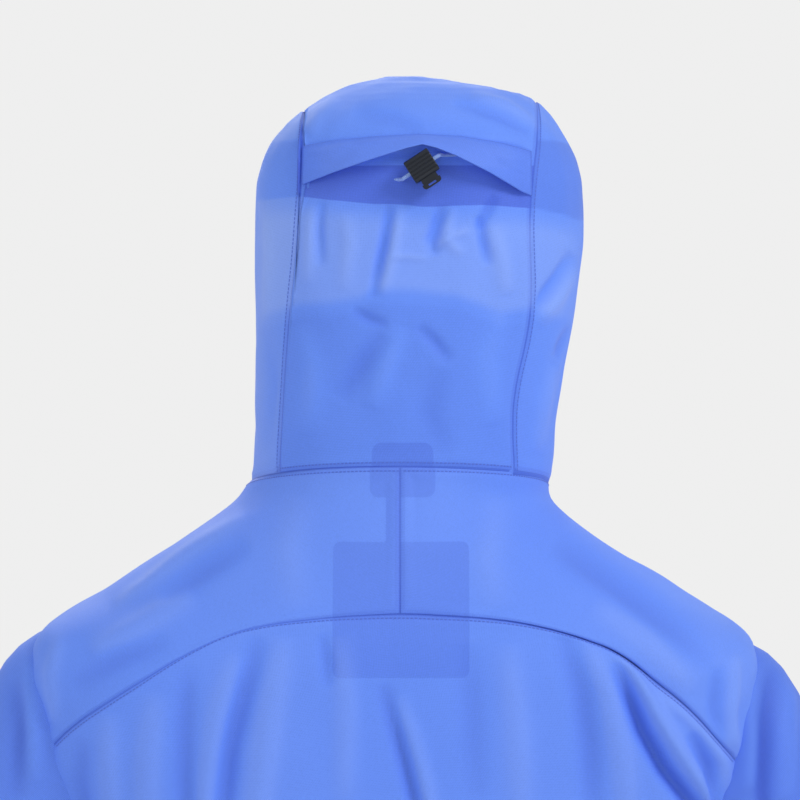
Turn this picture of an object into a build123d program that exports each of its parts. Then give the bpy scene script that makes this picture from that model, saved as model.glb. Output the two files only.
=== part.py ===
"""Hardshell jacket, worn shape, standing on its hem: sewn shell panels, zips, cord locks, cuffs and hood.

Millimetres. +Z up, the front faces -Y, the wearer's left is +X, and Z = 0 is the hem's resting plane.
"""

import os
from math import acos, cos, degrees, radians, sin

from build123d import *

# ---- driving dimensions -------------------------------------------------------------------------
CLOTH = 1.5                     # laminate with its seam tape, modelled a little thick
GAP = 0.4                       # clearance between pieces of different bodies
FRONT_Y = -100.0                # the front closure is one straight vertical line
HEM_HEIGHT = 30.0
NECK_BACK_Z = 735.0             # hood seam at the back of the neck
NECK_BACK_Y = 104.0
NECK_SLOPE = 0.18               # how fast the neck seam falls towards the front
COLLAR_TOP_Z = 790.0            # top of the front zip, at the chin
COLLAR_BACK_Z = 738.0
LEAN = -0.068                   # the hood leans to the wearer's right by this much per mm of height
LEAN_DEGREES = 3.89
SEAM_HALF = 83.0                # half the width of the hood's centre panel
FACE_Y = -62.0                  # plane of the hood's face opening
BRIM_TIP_Y = -108.0
BRIM_BACK_Y = FACE_Y - 7.6
BRIM_TOP_Z = 996.0
CROWN_Z = 1008.0

# Elliptical sections of the shell: height, half width, back, front.
SECTIONS = [
    (0, 225, 136, FRONT_Y),
    (560, 225, 136, FRONT_Y),
    (600, 224, 134, FRONT_Y),
    (625, 217, 130, FRONT_Y),
    (645, 203, 126, FRONT_Y),
    (669, 173, 120, FRONT_Y),
    (688, 145, 114, FRONT_Y),
    (706, 120, 108, FRONT_Y),
    (719, 104, 105, FRONT_Y),
    (760, 103, 104, FRONT_Y),
    (850, 109, 108, FRONT_Y),
    (910, 113, 112, FRONT_Y),
    (948, 112, 111, FRONT_Y),
    (970, 102, 104, -97),
    (988, 83, 88, -86),
    (1000, 55, 60, -64),
    (CROWN_Z, 14, 22, -26),
]
TORSO_TOP = 760.0               # the torso and the hood are cut from two forms that overlap here
HOOD_LOW = 688.0

# Yoke seam: an arch across the back, and a line over the front of the shoulder.
YOKE_RADIUS = 312.0
YOKE_TOP_Z = 635.0
YOKE_FRONT_Y = -45.0
SIDE_SEAM_Y = 18.0

# Sleeves, as a ball at the shoulder and at the elbow with a cone below each.
SHOULDER = (200.0, 18.0, 575.0)
SHOULDER_R = 80.0
UPPER_OUT = 28.0                # degrees from vertical
UPPER_LENGTH = 300.0
ELBOW_TUBE_R = 61.0
ELBOW_R = 68.0
LOWER_OUT = 14.0
LOWER_FORWARD = 14.0
LOWER_LENGTH = 250.0
LOWER_TOP_R = 56.0
CUFF_R = 45.0
CUFF_LENGTH = 28.0
ELBOW_KEEP = 53.0               # how far the elbow ball reaches up inside the upper sleeve
ELBOW_RANGE = 45.0

# Cuff tab: an arc of webbing round the cuff, hinged where it is sewn down.
TAB_INNER_R = CUFF_R + 1.4
TAB_THICK = 1.5
TAB_START, TAB_ARC = 115.0, 78.0
TAB_WIDTH = 22.0

# Zips: tape half widths, and the slider's own sizes.
TAPE_SPLIT = 0.7                # half the slit between the two tapes
TAPE_THICK = 0.9
BEAD_W, BEAD_D = 2.5, 2.6
FRONT_TAPE = 14.0
SIDE_TAPE = 8.0
SLIDER_W, SLIDER_L, PLATE = 9.0, 11.0, 1.2
PIN_R, EYE_GAP = 0.6, 0.05
PIN_OUT, PIN_DOWN = 3.2, 5.5
PULL_LENGTH = 30.0
FRONT_ZIP = (18.0, 784.0)
POCKET_ZIP = (215.0, 385.0)
PIT_ZIP = (205.0, 340.0)
POCKET_X, POCKET_TURN = 135.0, 21.5
PIT_X, PIT_TURN = 200.0, 45.5

# Cord lock: a hollow body, a sprung plunger across it and a cord through both.
LOCK_W, LOCK_D, LOCK_H = 19.0, 11.0, 17.0
LOCK_FLOOR = 2.0
PLUNGER_W, PLUNGER_D = 12.0, 6.0
STROKE = 3.0
SPRING_SOLID = 0.8              # height of the spring when the plunger is fully in
STEM_FOOT = 1.6                 # stem below the cord's slot
HEAD_W, HEAD_D, HEAD_H = 14.0, 7.4, 3.6
CORD_R = 1.3
CORD_HOLE_R = 1.9
CORD_RISE = 0.3                 # the cord's height over the lock's middle
REAR_LOCK_AT = (-14.7, 942.0)   # x and z on the hood
REAR_LOCK_OUT = 9.0             # its middle, outwards from the hood's surface
REAR_LOCK_TURN = 213.0
EYELET_AT = 15.5                # from the lock's middle, along the cord
EYELET_R = 2.9
HEM_LOCK_Z = 17.0
HEM_LOCK_X = 190.0
HEM_LOCK_TURN = 39.6            # the hem's outward normal there, degrees from straight back

# Rear hood flap: an inverted V over the cord lock.
FLAP_TOP_Z = 976.0
FLAP_LEFT_Z, FLAP_APEX_Z, FLAP_RIGHT_Z = 930.0, 957.0, 922.6
FLAP_STANDOFF = 20.0

HALO_Z = (916.0, 962.0)
HALO_OFF = 6.0
TUNNEL_OFF = 3.4                # cord centre, inwards from the shell's outer face
HEM_TUNNEL = 6.2                # inner facing of the hem, inwards from the shell's outer face
HEM_CORD_Z = 15.0
HEM_CORD_POINTS = 40

LABEL_HALF, LABEL_Z = 47.0, (593.0, 684.0)
LOOP_HALF, LOOP_OUT, LOOP_Z, LOOP_TALL = 24.0, 10.0, 690.0, 8.0

TO_ORIGIN_Y = -14.0             # puts the origin under the middle of the bounding box

parts = {}


# ---- the shell that every panel is cut from ------------------------------------------------------
def lean_x(z):
    """Sideways offset of the hood's middle at height z."""
    return LEAN * (min(z, 948) - NECK_BACK_Z) if z > NECK_BACK_Z else 0.0


def band_at(z):
    """Half width, back and front of the shell at height z, between its sections."""
    above = next(i for i, row in enumerate(SECTIONS) if row[0] >= max(z, 1))
    low, high = SECTIONS[above - 1], SECTIONS[above]
    share = (z - low[0]) / (high[0] - low[0])
    return [a + (b - a) * share for a, b in zip(low[1:], high[1:])]


def form(offset, low, high):
    """The solid form between two heights, drawn in by offset."""
    heights = [low] + [row[0] for row in SECTIONS if low < row[0] < high] + [high]
    faces = []
    for z in heights:
        half_width, back, front = band_at(z)
        flat = Ellipse(half_width - offset, (back - front) / 2 - offset)
        dome_drop = offset if z > 948 else 0
        faces.append(Pos(lean_x(z), (back + front) / 2, z - dome_drop) * flat)
    return loft(faces, ruled=True)


def layer(outer_offset, inner_offset, low, high):
    """One cloth layer of the form, between two offsets and two heights."""
    return form(outer_offset, low, high) - form(inner_offset, low - 1, high + 1 + inner_offset)


def back_y(x, z):
    """The shell's outer back face at x and z."""
    half_width, back, front = band_at(z)
    share = min(abs((x - lean_x(z)) / half_width), 0.999)
    return (back + front) / 2 + (back - front) / 2 * (1 - share**2) ** 0.5


def form_point(angle, z, offset):
    """A point on the form at a bearing in degrees, 90 being straight back."""
    half_width, back, front = band_at(z)
    x = lean_x(z) + (half_width - offset) * cos(radians(angle))
    y = (back + front) / 2 + ((back - front) / 2 - offset) * sin(radians(angle))
    return (x, y, z)


def block(x, y, z):
    """An axis-aligned box between pairs of limits."""
    size = [high - low for low, high in (x, y, z)]
    middle = [(high + low) / 2 for low, high in (x, y, z)]
    return Pos(*middle) * Box(*size)


def below_plane(front_z, back_z, back_at=NECK_BACK_Y):
    """Everything under a plane that runs from the front line to the back of the neck."""
    slope = (back_z - front_z) / (back_at - FRONT_Y)
    reach = 400
    profile = Polyline(
        (FRONT_Y - reach, front_z - slope * reach),
        (back_at + reach, back_z + slope * reach),
        (back_at + reach, -100),
        (FRONT_Y - reach, -100),
        close=True,
    )
    return extrude(Plane.YZ * make_face(profile), 500, both=True)


def left_and_right(name, left_shape):
    """Stores a piece and its mirror image."""
    solids = left_shape.solids()
    mirrored = [mirror(solid, Plane.YZ) for solid in solids]
    parts[name.format("left")] = solids[0] if len(solids) == 1 else Compound(solids)
    parts[name.format("right")] = mirrored[0] if len(solids) == 1 else Compound(mirrored)


# ---- sleeves -------------------------------------------------------------------------------------
UPPER_AT = Pos(*SHOULDER) * Rot(0, -UPPER_OUT, 0)
ELBOW = tuple((UPPER_AT * Pos(0, 0, -UPPER_LENGTH)).position)
LOWER_AT = Pos(*ELBOW) * Rot(0, -LOWER_OUT, 0) * Rot(-LOWER_FORWARD, 0, 0)


def cone(top_r, end_r, length):
    """A solid cone hanging down from the origin."""
    return Pos(0, 0, -length / 2) * Cone(end_r, top_r, length)


def upper_form(offset=0.0, extra=0.0):
    """The upper sleeve's solid form, drawn in by offset."""
    taper = (SHOULDER_R - ELBOW_TUBE_R) / UPPER_LENGTH
    length = UPPER_LENGTH + extra
    tube = cone(SHOULDER_R - offset, SHOULDER_R - offset - taper * length, length)
    return Sphere(SHOULDER_R - offset) + tube


def make_upper_sleeve(torso_core):
    shell = upper_form() - upper_form(CLOTH, 20)
    shell -= Pos(0, 0, -UPPER_LENGTH) * Sphere(ELBOW_R + GAP)
    sleeve = UPPER_AT * shell - torso_core
    left_and_right("sleeve_{}_upper", sleeve.solids().sort_by(SortBy.VOLUME)[-1])


def make_lower_sleeve():
    taper = (LOWER_TOP_R - CUFF_R) / LOWER_LENGTH
    outer = Sphere(ELBOW_R) + cone(LOWER_TOP_R, CUFF_R, LOWER_LENGTH)
    longer = LOWER_LENGTH + 20
    bore = cone(LOWER_TOP_R - CLOTH, LOWER_TOP_R - CLOTH - taper * longer, longer)
    inner = Sphere(ELBOW_R - CLOTH) + bore
    bend_axis = Axis(ELBOW, (cos(radians(UPPER_OUT)), 0, sin(radians(UPPER_OUT))))
    mouth = Pos(*ELBOW) * Rot(0, -UPPER_OUT, 0) * block((-100, 100), (-100, 100), (ELBOW_KEEP, 100))
    mouth = mouth.rotate(bend_axis, ELBOW_RANGE / 2)
    left_and_right("sleeve_{}_lower", biggest(LOWER_AT * (outer - inner) - mouth))


def arc_strip(inner_r, outer_r, start, sweep, width):
    """A band round the local Z axis, width tall and centred on z = 0."""
    ring = Cylinder(outer_r, width) - Cylinder(inner_r, width + 2)
    far = 3 * outer_r
    edge_a = (far * cos(radians(start)), far * sin(radians(start)))
    middle = (far * cos(radians(start + sweep / 2)), far * sin(radians(start + sweep / 2)))
    edge_b = (far * cos(radians(start + sweep)), far * sin(radians(start + sweep)))
    wedge = extrude(make_face(Polyline((0, 0), edge_a, middle, edge_b, close=True)), width, both=True)
    return ring & wedge


def make_cuff():
    at = LOWER_AT * Pos(0, 0, -LOWER_LENGTH - CUFF_LENGTH / 2)
    ring = Cylinder(CUFF_R + 0.2, CUFF_LENGTH) - Cylinder(CUFF_R - CLOTH, CUFF_LENGTH + 2)
    left_and_right("cuff_{}", at * ring)
    patch = arc_strip(CUFF_R + 0.3, CUFF_R + 1.0, TAB_START - 6, TAB_ARC, TAB_WIDTH - 2)
    left_and_right("cuff_loop_patch_{}", at * patch)
    tab = arc_strip(TAB_INNER_R, TAB_INNER_R + TAB_THICK, TAB_START, TAB_ARC, TAB_WIDTH)
    left_and_right("cuff_tab_{}", at * tab)


# ---- zips, in a local frame: X across, Z along, +Y into the garment --------------------------------
def zip_tape(side, half, length):
    """One tape with its row of coils behind the edge, from z = 0 up."""
    edge = side * TAPE_SPLIT
    profile = Polyline(
        (edge, 0),
        (side * half, 0),
        (side * half, TAPE_THICK),
        (side * (TAPE_SPLIT + BEAD_W), TAPE_THICK),
        (side * (TAPE_SPLIT + BEAD_W), BEAD_D),
        (edge, BEAD_D),
        close=True,
    )
    return extrude(make_face(profile), length, dir=(0, 0, 1))


def slider_body():
    """Outer and inner plates, the post in the slit, two flanges and the ears that hold the pull's pin."""
    half = SLIDER_W / 2
    outer = block((-half, half), (-GAP - PLATE, -GAP), (-SLIDER_L, 0))
    inner_face = BEAD_D + GAP
    inner = block((-half, half), (inner_face, inner_face + PLATE), (-SLIDER_L, 0))
    post = block((-0.4, 0.4), (-GAP - PLATE, inner_face + PLATE), (-3.2, -0.8))
    body = outer + inner + post
    body = fillet(body.edges().filter_by(Axis.Y).group_by(Axis.Z)[0], 1.6)
    for side in (-1, 1):
        flange = block((3.7, half), (TAPE_THICK + GAP, inner_face), (-SLIDER_L + 1, -1))
        ear = block((2.5, 3.3), (-PIN_OUT - 1.0, -GAP - PLATE), (-PIN_DOWN - 1.6, -PIN_DOWN + 1.6))
        extra = flange + ear
        body += extra if side > 0 else mirror(extra, Plane.YZ)
    pin = Pos(0, -PIN_OUT, -PIN_DOWN) * Rot(0, 90, 0) * Cylinder(PIN_R, 6.6)
    return body + pin


def pull_tab():
    """A moulded tab hanging from an eye round the slider's pin."""
    eye_r = PIN_R + EYE_GAP
    barrel = Pos(0, -PIN_OUT, -PIN_DOWN) * Rot(0, 90, 0) * Cylinder(1.3, 4.4)
    outline = Polyline(
        (-2.2, -PIN_DOWN), (2.2, -PIN_DOWN), (2.4, -PIN_DOWN - 5), (3.6, -PIN_DOWN - PULL_LENGTH),
        (-3.6, -PIN_DOWN - PULL_LENGTH), (-2.4, -PIN_DOWN - 5), close=True,
    )
    blade = extrude(Plane.XZ * make_face(outline), 0.7, both=True)
    blade = Pos(0, -PIN_OUT, 0) * blade
    blade = fillet(blade.edges().filter_by(Axis.Y).group_by(Axis.Z)[0], 2.4)
    hole = Pos(0, -PIN_OUT, -PIN_DOWN) * Rot(0, 90, 0) * Cylinder(eye_r, 10)
    grip = [
        Pos(0, -PIN_OUT, -PIN_DOWN - 14 - 3.2 * i) * Box(4.6, 2.0, 1.2) for i in range(4)
    ]
    return (barrel + blade + grip) - hole


def zip_frame(x, turn):
    """A side zip's frame on the shell at x, turned to face outwards."""
    y = 18.0 - 118.0 * (1 - (x / 225.0) ** 2) ** 0.5
    return Pos(x, y, 0) * Rot(0, 0, turn)


POCKET_AT = zip_frame(POCKET_X, POCKET_TURN)
PIT_AT = zip_frame(PIT_X, PIT_TURN)


def zip_slot(at, span):
    """What a side zip takes out of its panel."""
    return at * block((-SIDE_TAPE, SIDE_TAPE), (-20, 20), span)


def make_front_zip():
    length = FRONT_ZIP[1] - FRONT_ZIP[0]
    for name, side in (("left", 1), ("right", -1)):
        tape = Pos(0, FRONT_Y, FRONT_ZIP[0]) * zip_tape(side, FRONT_TAPE, length)
        parts[f"front_zip_tape_{name}"] = tape
    box = block((-6, 6), (FRONT_Y - 1, FRONT_Y + 4), (4, FRONT_ZIP[0] - GAP))
    parts["front_zip_box"] = fillet(box.edges().filter_by(Axis.Z), 1.2)
    at = Pos(0, FRONT_Y, FRONT_ZIP[1] - 2)
    parts["front_zip_slider"] = at * slider_body()
    parts["front_zip_pull"] = at * pull_tab()


def make_side_zip(name, at, span):
    tapes = [zip_tape(side, SIDE_TAPE, span[1] - span[0]) for side in (1, -1)]
    placed = at * Pos(0, 0, span[0])
    left_and_right(name + "_{}_tapes", Compound([placed * tape for tape in tapes]))
    top = at * Pos(0, 0, span[1] - 2)
    left_and_right(name + "_{}_slider", top * slider_body())
    left_and_right(name + "_{}_pull", top * pull_tab())


# ---- cord locks, in a local frame: X along the cord, Z the way the plunger stands out, Y inwards -----
def lock_body():
    body = Box(LOCK_W, LOCK_D, LOCK_H)
    body = fillet(body.edges().filter_by(Axis.X), 3.4)
    body = fillet(body.edges().filter_by(Axis.Z), 0.8)
    pocket = block(
        (-PLUNGER_W / 2 - GAP, PLUNGER_W / 2 + GAP),
        (-PLUNGER_D / 2 - GAP, PLUNGER_D / 2 + GAP),
        (-LOCK_H / 2 + LOCK_FLOOR, LOCK_H),
    )
    cord_hole = Pos(0, 0, CORD_RISE) * Rot(0, 90, 0) * Cylinder(CORD_HOLE_R, LOCK_W + 2)
    grips = [
        Pos(0, side * LOCK_D / 2, -5.2 + 2.6 * i) * Rot(0, 90, 0) * Cylinder(0.5, LOCK_W + 2)
        for side in (-1, 1)
        for i in range(5)
    ]
    return body - pocket - cord_hole - grips


def lock_plunger():
    """At rest the foot of its slot holds the cord up against the body's hole."""
    stem_low = -LOCK_H / 2 + LOCK_FLOOR + STROKE + SPRING_SOLID
    head_low = LOCK_H / 2 + STROKE + GAP
    stem = block(
        (-PLUNGER_W / 2, PLUNGER_W / 2), (-PLUNGER_D / 2, PLUNGER_D / 2), (stem_low, head_low)
    )
    slot = block(
        (-20, 20), (-CORD_HOLE_R, CORD_HOLE_R), (stem_low + STEM_FOOT, CORD_RISE + CORD_R + STROKE + 0.2)
    )
    head = Pos(0, 0, head_low + HEAD_H / 2) * Box(HEAD_W, HEAD_D, HEAD_H)
    head = fillet(head.edges().filter_by(Axis.Y).group_by(Axis.Z)[-1], 2.4)
    eye = Pos(0, 0, head_low + HEAD_H / 2) * Box(6.0, HEAD_D + 2, 1.4)
    return stem + head - slot - eye


def lock_spring():
    """Coil between the pocket's floor and the plunger's stem."""
    wire_r = 0.3
    low = -LOCK_H / 2 + LOCK_FLOOR + wire_r + 0.1
    high = -LOCK_H / 2 + LOCK_FLOOR + STROKE + SPRING_SOLID - wire_r - 0.1
    coil = Helix(pitch=1.0, height=high - low, radius=2.0)
    wire = sweep(Plane(coil @ 0, z_dir=coil % 0) * Circle(wire_r), path=coil, is_frenet=True)
    return Pos(0, 0, low) * wire


# ---- torso and collar ------------------------------------------------------------------------------
def make_torso():
    front_z = NECK_BACK_Z - NECK_SLOPE * (NECK_BACK_Y - FRONT_Y)
    under_neck = below_plane(front_z, NECK_BACK_Z)
    under_hood = below_plane(COLLAR_TOP_Z, COLLAR_BACK_Z)
    armhole = UPPER_AT * upper_form(-GAP)
    closure = block((-FRONT_TAPE, FRONT_TAPE), (FRONT_Y - 20, 0), (-10, 900))
    left_half = block((0, 500), (-300, 300), (-10, 900))

    neck = layer(0, CLOTH, HOOD_LOW, 850)
    collar = ((neck & under_hood) - under_neck) - closure
    parts["collar_left"] = collar & left_half
    parts["collar_right"] = collar - left_half
    parts["hem_band"] = layer(0, CLOTH, 0, HEM_HEIGHT) - closure

    shell = layer(0, CLOTH, HEM_HEIGHT, TORSO_TOP)
    torso = (shell & under_neck) - armhole - mirror(armhole, Plane.YZ) - closure
    arch = Pos(0, 0, YOKE_TOP_Z - YOKE_RADIUS) * Rot(90, 0, 0) * Cylinder(YOKE_RADIUS, 800)
    yoke_region = block((-500, 500), (YOKE_FRONT_Y, 300), (300, 900)) - arch
    yoke = torso & yoke_region
    left_and_right("yoke_{}", biggest(yoke & left_half))

    below = torso - yoke_region
    rear = block((-500, 500), (SIDE_SEAM_Y, 300), (0, 900))
    parts["back_panel"] = biggest(below & rear)
    front_left = biggest((below - rear) & left_half)
    front_left = front_left - zip_slot(POCKET_AT, POCKET_ZIP) - zip_slot(PIT_AT, PIT_ZIP)
    left_and_right("front_panel_{}", biggest(front_left))


def biggest(shape):
    """The largest solid, which drops the slivers that a cut leaves beside it."""
    return shape.solids().sort_by(SortBy.VOLUME)[-1]


def make_hem():
    """Facing inside the hem band, the cord in the tunnel between them, and a lock on each side."""
    closure = block((-FRONT_TAPE - 6, FRONT_TAPE + 6), (FRONT_Y - 20, 0), (-10, 900))
    facing = layer(HEM_TUNNEL, HEM_TUNNEL + 1.2, 0, HEM_HEIGHT - 2)
    foot = layer(CLOTH + 0.1, HEM_TUNNEL, 0, 1.2)
    parts["hem_facing"] = (facing + foot) - closure

    route = []
    for i in range(HEM_CORD_POINTS):
        bearing = -76 + 332 * i / (HEM_CORD_POINTS - 1)
        route.append(form_point(bearing, HEM_CORD_Z, TUNNEL_OFF))
    parts["hem_cord"] = tube(route, CORD_R)

    springs = []
    for name, side in (("left", 1), ("right", -1)):
        y = back_y(HEM_LOCK_X, HEM_LOCK_Z)
        outwards = Rot(0, 0, 180 - side * HEM_LOCK_TURN) * Pos(0, -LOCK_D / 2 - GAP, 0)
        at = Pos(side * HEM_LOCK_X, y, HEM_LOCK_Z) * outwards
        parts[f"hem_cordlock_{name}_body"] = at * lock_body()
        parts[f"hem_cordlock_{name}_plunger"] = at * lock_plunger()
        loop = [(-18, 5, 0), (-16, 1, 0), (-12, 0, 0), (12, 0, 0), (16, 1, 0), (18, 5, 0)]
        placed = [tuple((at * Pos(x, y, z + CORD_RISE)).position) for x, y, z in loop]
        parts[f"hem_cordlock_{name}_cord"] = tube(placed, CORD_R)
        springs.append(at * lock_spring())
    parts["hem_cordlock_springs"] = Compound(springs)


def tube(route, radius):
    """A cord through route's points: straight runs with tangent arcs as large as the runs allow."""
    points = [Vector(*p) for p in route]
    radii = []
    for before, here, after in zip(points, points[1:], points[2:]):
        half_turn = (here - before).get_angle(after - here) / 2
        shorter = min((here - before).length, (after - here).length)
        radii.append(0.45 * shorter / max(tan_degrees(half_turn), 0.02))
    path = FilletPolyline(*points, radius=radii)
    return sweep(Plane(path @ 0, z_dir=path % 0) * Circle(radius), path=path)


def tan_degrees(angle):
    return sin(radians(angle)) / cos(radians(angle))


def make_storm_flap():
    """Wind flap behind the front zip, sewn to the left front."""
    leaf = block((-22, 26), (FRONT_Y + 5.6, FRONT_Y + 6.8), (HEM_HEIGHT + 4, COLLAR_TOP_Z - 12))
    root = block((22, 26), (FRONT_Y + CLOTH + 1.4, FRONT_Y + 5.6), (HEM_HEIGHT + 4, COLLAR_TOP_Z - 12))
    panel = form(-5, HEM_HEIGHT, COLLAR_TOP_Z) - form(CLOTH + GAP, HEM_HEIGHT - 1, COLLAR_TOP_Z + 1)
    parts["storm_flap"] = biggest((leaf + root) - panel)


def make_inside():
    """Pocket bags, the neck label patch and the hanging loop."""
    bag = layer(6.0, 7.4, 185, 400) & block((62, 178), (-150, 0), (185, 400))
    left_and_right("pocket_bag_{}", biggest(bag))
    label = layer(2.0, 2.9, *LABEL_Z) & block((-LABEL_HALF, LABEL_HALF), (40, 200), LABEL_Z)
    parts["neck_label"] = biggest(label)
    wall = back_y(LOOP_HALF, LOOP_Z + LOOP_TALL) - CLOTH - 0.2
    out = wall - LOOP_OUT
    thick = 1.3
    shape = Polyline(
        (-LOOP_HALF, wall), (-LOOP_HALF, out), (LOOP_HALF, out), (LOOP_HALF, wall),
        (LOOP_HALF - thick, wall), (LOOP_HALF - thick, out + thick),
        (-LOOP_HALF + thick, out + thick), (-LOOP_HALF + thick, wall), close=True,
    )
    parts["hang_loop"] = Pos(0, 0, LOOP_Z) * extrude(make_face(shape), LOOP_TALL)


# ---- hood ------------------------------------------------------------------------------------------
def make_hood():
    shell = form(0, HOOD_LOW, CROWN_Z) - form(CLOTH, HOOD_LOW - 1, CROWN_Z)
    under_seam = below_plane(COLLAR_TOP_Z + GAP, COLLAR_BACK_Z + GAP)
    hood = (shell - under_seam) & block((-300, 300), (FACE_Y, 300), (600, 1100))
    tilt = Pos(0, 0, NECK_BACK_Z) * Rot(0, -LEAN_DEGREES, 0)
    middle = tilt * block((-SEAM_HALF, SEAM_HALF), (-300, 300), (-200, 400))
    eyelets = [
        (rear_lock_frame() * Pos(side * EYELET_AT, 0, CORD_RISE)) * Rot(90, 0, 0) * Cylinder(EYELET_R, 40)
        for side in (-1, 1)
    ]
    parts["hood_centre_panel"] = biggest((hood & middle) - eyelets)
    sides = (hood - middle).solids().sort_by(SortBy.VOLUME)[-2:]
    right, left = sorted(sides, key=lambda s: s.center().X)
    parts["hood_side_left"] = left
    parts["hood_side_right"] = right

    edge = form(-0.6, HOOD_LOW, CROWN_Z) - form(3.4, HOOD_LOW - 1, CROWN_Z)
    rim = edge & block((-300, 300), (FACE_Y - 7, FACE_Y), (600, 1100))
    parts["hood_face_binding"] = biggest(rim - under_seam)
    halo = layer(HALO_OFF, HALO_OFF + 1.2, *HALO_Z) & block((-300, 300), (FACE_Y + 6, 300), HALO_Z)
    parts["hood_halo_band"] = biggest(halo)


def rear_lock_frame():
    """The rear cord lock's frame: cord along X, plunger down and to the wearer's right."""
    x, z = REAR_LOCK_AT
    return Pos(x, back_y(x, z) + REAR_LOCK_OUT, z) * Rot(0, REAR_LOCK_TURN, 0)


def make_rear_adjuster():
    at = rear_lock_frame()
    parts["rear_cordlock_body"] = at * lock_body()
    parts["rear_cordlock_plunger"] = at * lock_plunger()
    parts["rear_cordlock_spring"] = at * lock_spring()

    route = []
    for side, bearings in ((-1, range(-28, 76, 9)), (1, range(104, 216, 10))):
        bend = (at * Pos(side * EYELET_AT, 0, CORD_RISE)).position
        hole = form_point(bearing_of(bend.X, bend.Z), bend.Z, TUNNEL_OFF)
        tunnel = [form_point(bearing, bend.Z, TUNNEL_OFF) for bearing in bearings]
        run = tunnel + [hole, tuple(bend)]
        route += run if side < 0 else (tunnel[::-1] + [hole, tuple(bend)])[::-1]
    parts["rear_adjuster_cord"] = tube(route, CORD_R)


def bearing_of(x, z):
    """The bearing of the back of the form at x."""
    half_width = band_at(z)[0] - TUNNEL_OFF
    return degrees(acos((x - lean_x(z)) / half_width))


def make_rear_flap():
    """Folded cover over the adjuster, sewn at its top and along the two long seams."""
    levels = (FLAP_RIGHT_Z - 4, 935.0, 948.0, 962.0, 970.0, FLAP_TOP_Z)
    faces = []
    for z in levels:
        lift = FLAP_STANDOFF * (FLAP_TOP_Z - z) / (FLAP_TOP_Z - levels[0]) + 1.0
        half = SEAM_HALF - 3 - max(z - 960, 0) * 0.9
        inner, outer = [], []
        for i in range(9):
            u = -1 + i / 4
            x = lean_x(z) + u * half
            y = back_y(x, z) + 0.8 + lift * (1 - u * u)
            inner.append((x, y, z))
            outer.append((x, y + 1.2, z))
        edges = [
            Spline(inner), Line(inner[-1], outer[-1]), Spline(outer[::-1]), Line(outer[0], inner[0]),
        ]
        faces.append(make_face(edges))
    cover = loft(faces, ruled=True)
    left_x, right_x = lean_x(930) + 95, lean_x(930) - 95
    apex_x = -15.0
    under = Polyline(
        (left_x, FLAP_LEFT_Z - 5), (apex_x, FLAP_APEX_Z), (right_x, FLAP_RIGHT_Z - 5),
        (right_x, 880), (left_x, 880), close=True,
    )
    cutter = extrude(Plane.XZ * make_face(under), 300, both=True)
    parts["hood_rear_flap"] = biggest(cover - cutter)


def make_brim():
    """Laminated peak, arched across the brow, hinged along the face binding."""
    arch_r, top_z = 118.0, BRIM_TOP_Z
    middle_x = lean_x(top_z)
    tube_shell = Cylinder(arch_r, 200) - Cylinder(arch_r - 2.0, 220)
    tube_shell = Pos(middle_x, BRIM_BACK_Y, top_z - arch_r) * Rot(90, 0, 0) * tube_shell
    outline = Pos(middle_x, BRIM_BACK_Y, 0) * Ellipse(78, BRIM_BACK_Y - BRIM_TIP_Y)
    plan = extrude(outline, 1200)
    front = block((-200, 200), (-300, BRIM_BACK_Y), (900, 1100))
    parts["hood_brim"] = biggest(tube_shell & plan & front)


def main():
    make_torso()
    make_upper_sleeve(form(CLOTH + 0.2, 300, TORSO_TOP))
    make_lower_sleeve()
    make_cuff()
    make_hem()
    make_storm_flap()
    make_inside()
    make_front_zip()
    make_side_zip("pocket_zip", POCKET_AT, POCKET_ZIP)
    make_side_zip("pit_zip", PIT_AT, PIT_ZIP)
    make_hood()
    make_rear_adjuster()
    make_rear_flap()
    make_brim()
    os.makedirs("parts", exist_ok=True)
    for name, shape in parts.items():
        export_step(Pos(0, TO_ORIGIN_Y, 0) * shape, f"parts/{name}.step")


main()
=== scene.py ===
import math

import bpy
import numpy as np
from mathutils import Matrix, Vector


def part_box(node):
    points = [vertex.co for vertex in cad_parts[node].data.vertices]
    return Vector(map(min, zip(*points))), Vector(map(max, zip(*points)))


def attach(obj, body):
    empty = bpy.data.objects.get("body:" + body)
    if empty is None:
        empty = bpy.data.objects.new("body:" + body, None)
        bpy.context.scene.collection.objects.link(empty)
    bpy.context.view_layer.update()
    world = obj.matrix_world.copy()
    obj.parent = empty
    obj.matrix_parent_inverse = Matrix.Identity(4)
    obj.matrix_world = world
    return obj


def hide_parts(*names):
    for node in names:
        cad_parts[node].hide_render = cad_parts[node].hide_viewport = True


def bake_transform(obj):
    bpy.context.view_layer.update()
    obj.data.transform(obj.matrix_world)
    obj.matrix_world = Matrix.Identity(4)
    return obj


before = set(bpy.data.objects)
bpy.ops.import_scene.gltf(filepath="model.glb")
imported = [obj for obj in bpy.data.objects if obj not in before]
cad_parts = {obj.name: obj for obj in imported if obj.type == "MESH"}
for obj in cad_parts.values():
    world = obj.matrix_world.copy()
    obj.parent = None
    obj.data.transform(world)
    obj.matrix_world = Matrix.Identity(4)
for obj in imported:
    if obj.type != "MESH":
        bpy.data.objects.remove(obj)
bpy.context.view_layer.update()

SHIFT_Y = -14.0  # the row frame has the form moved this far forward, mm
SIDES = (("left", 1), ("right", -1))

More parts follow.
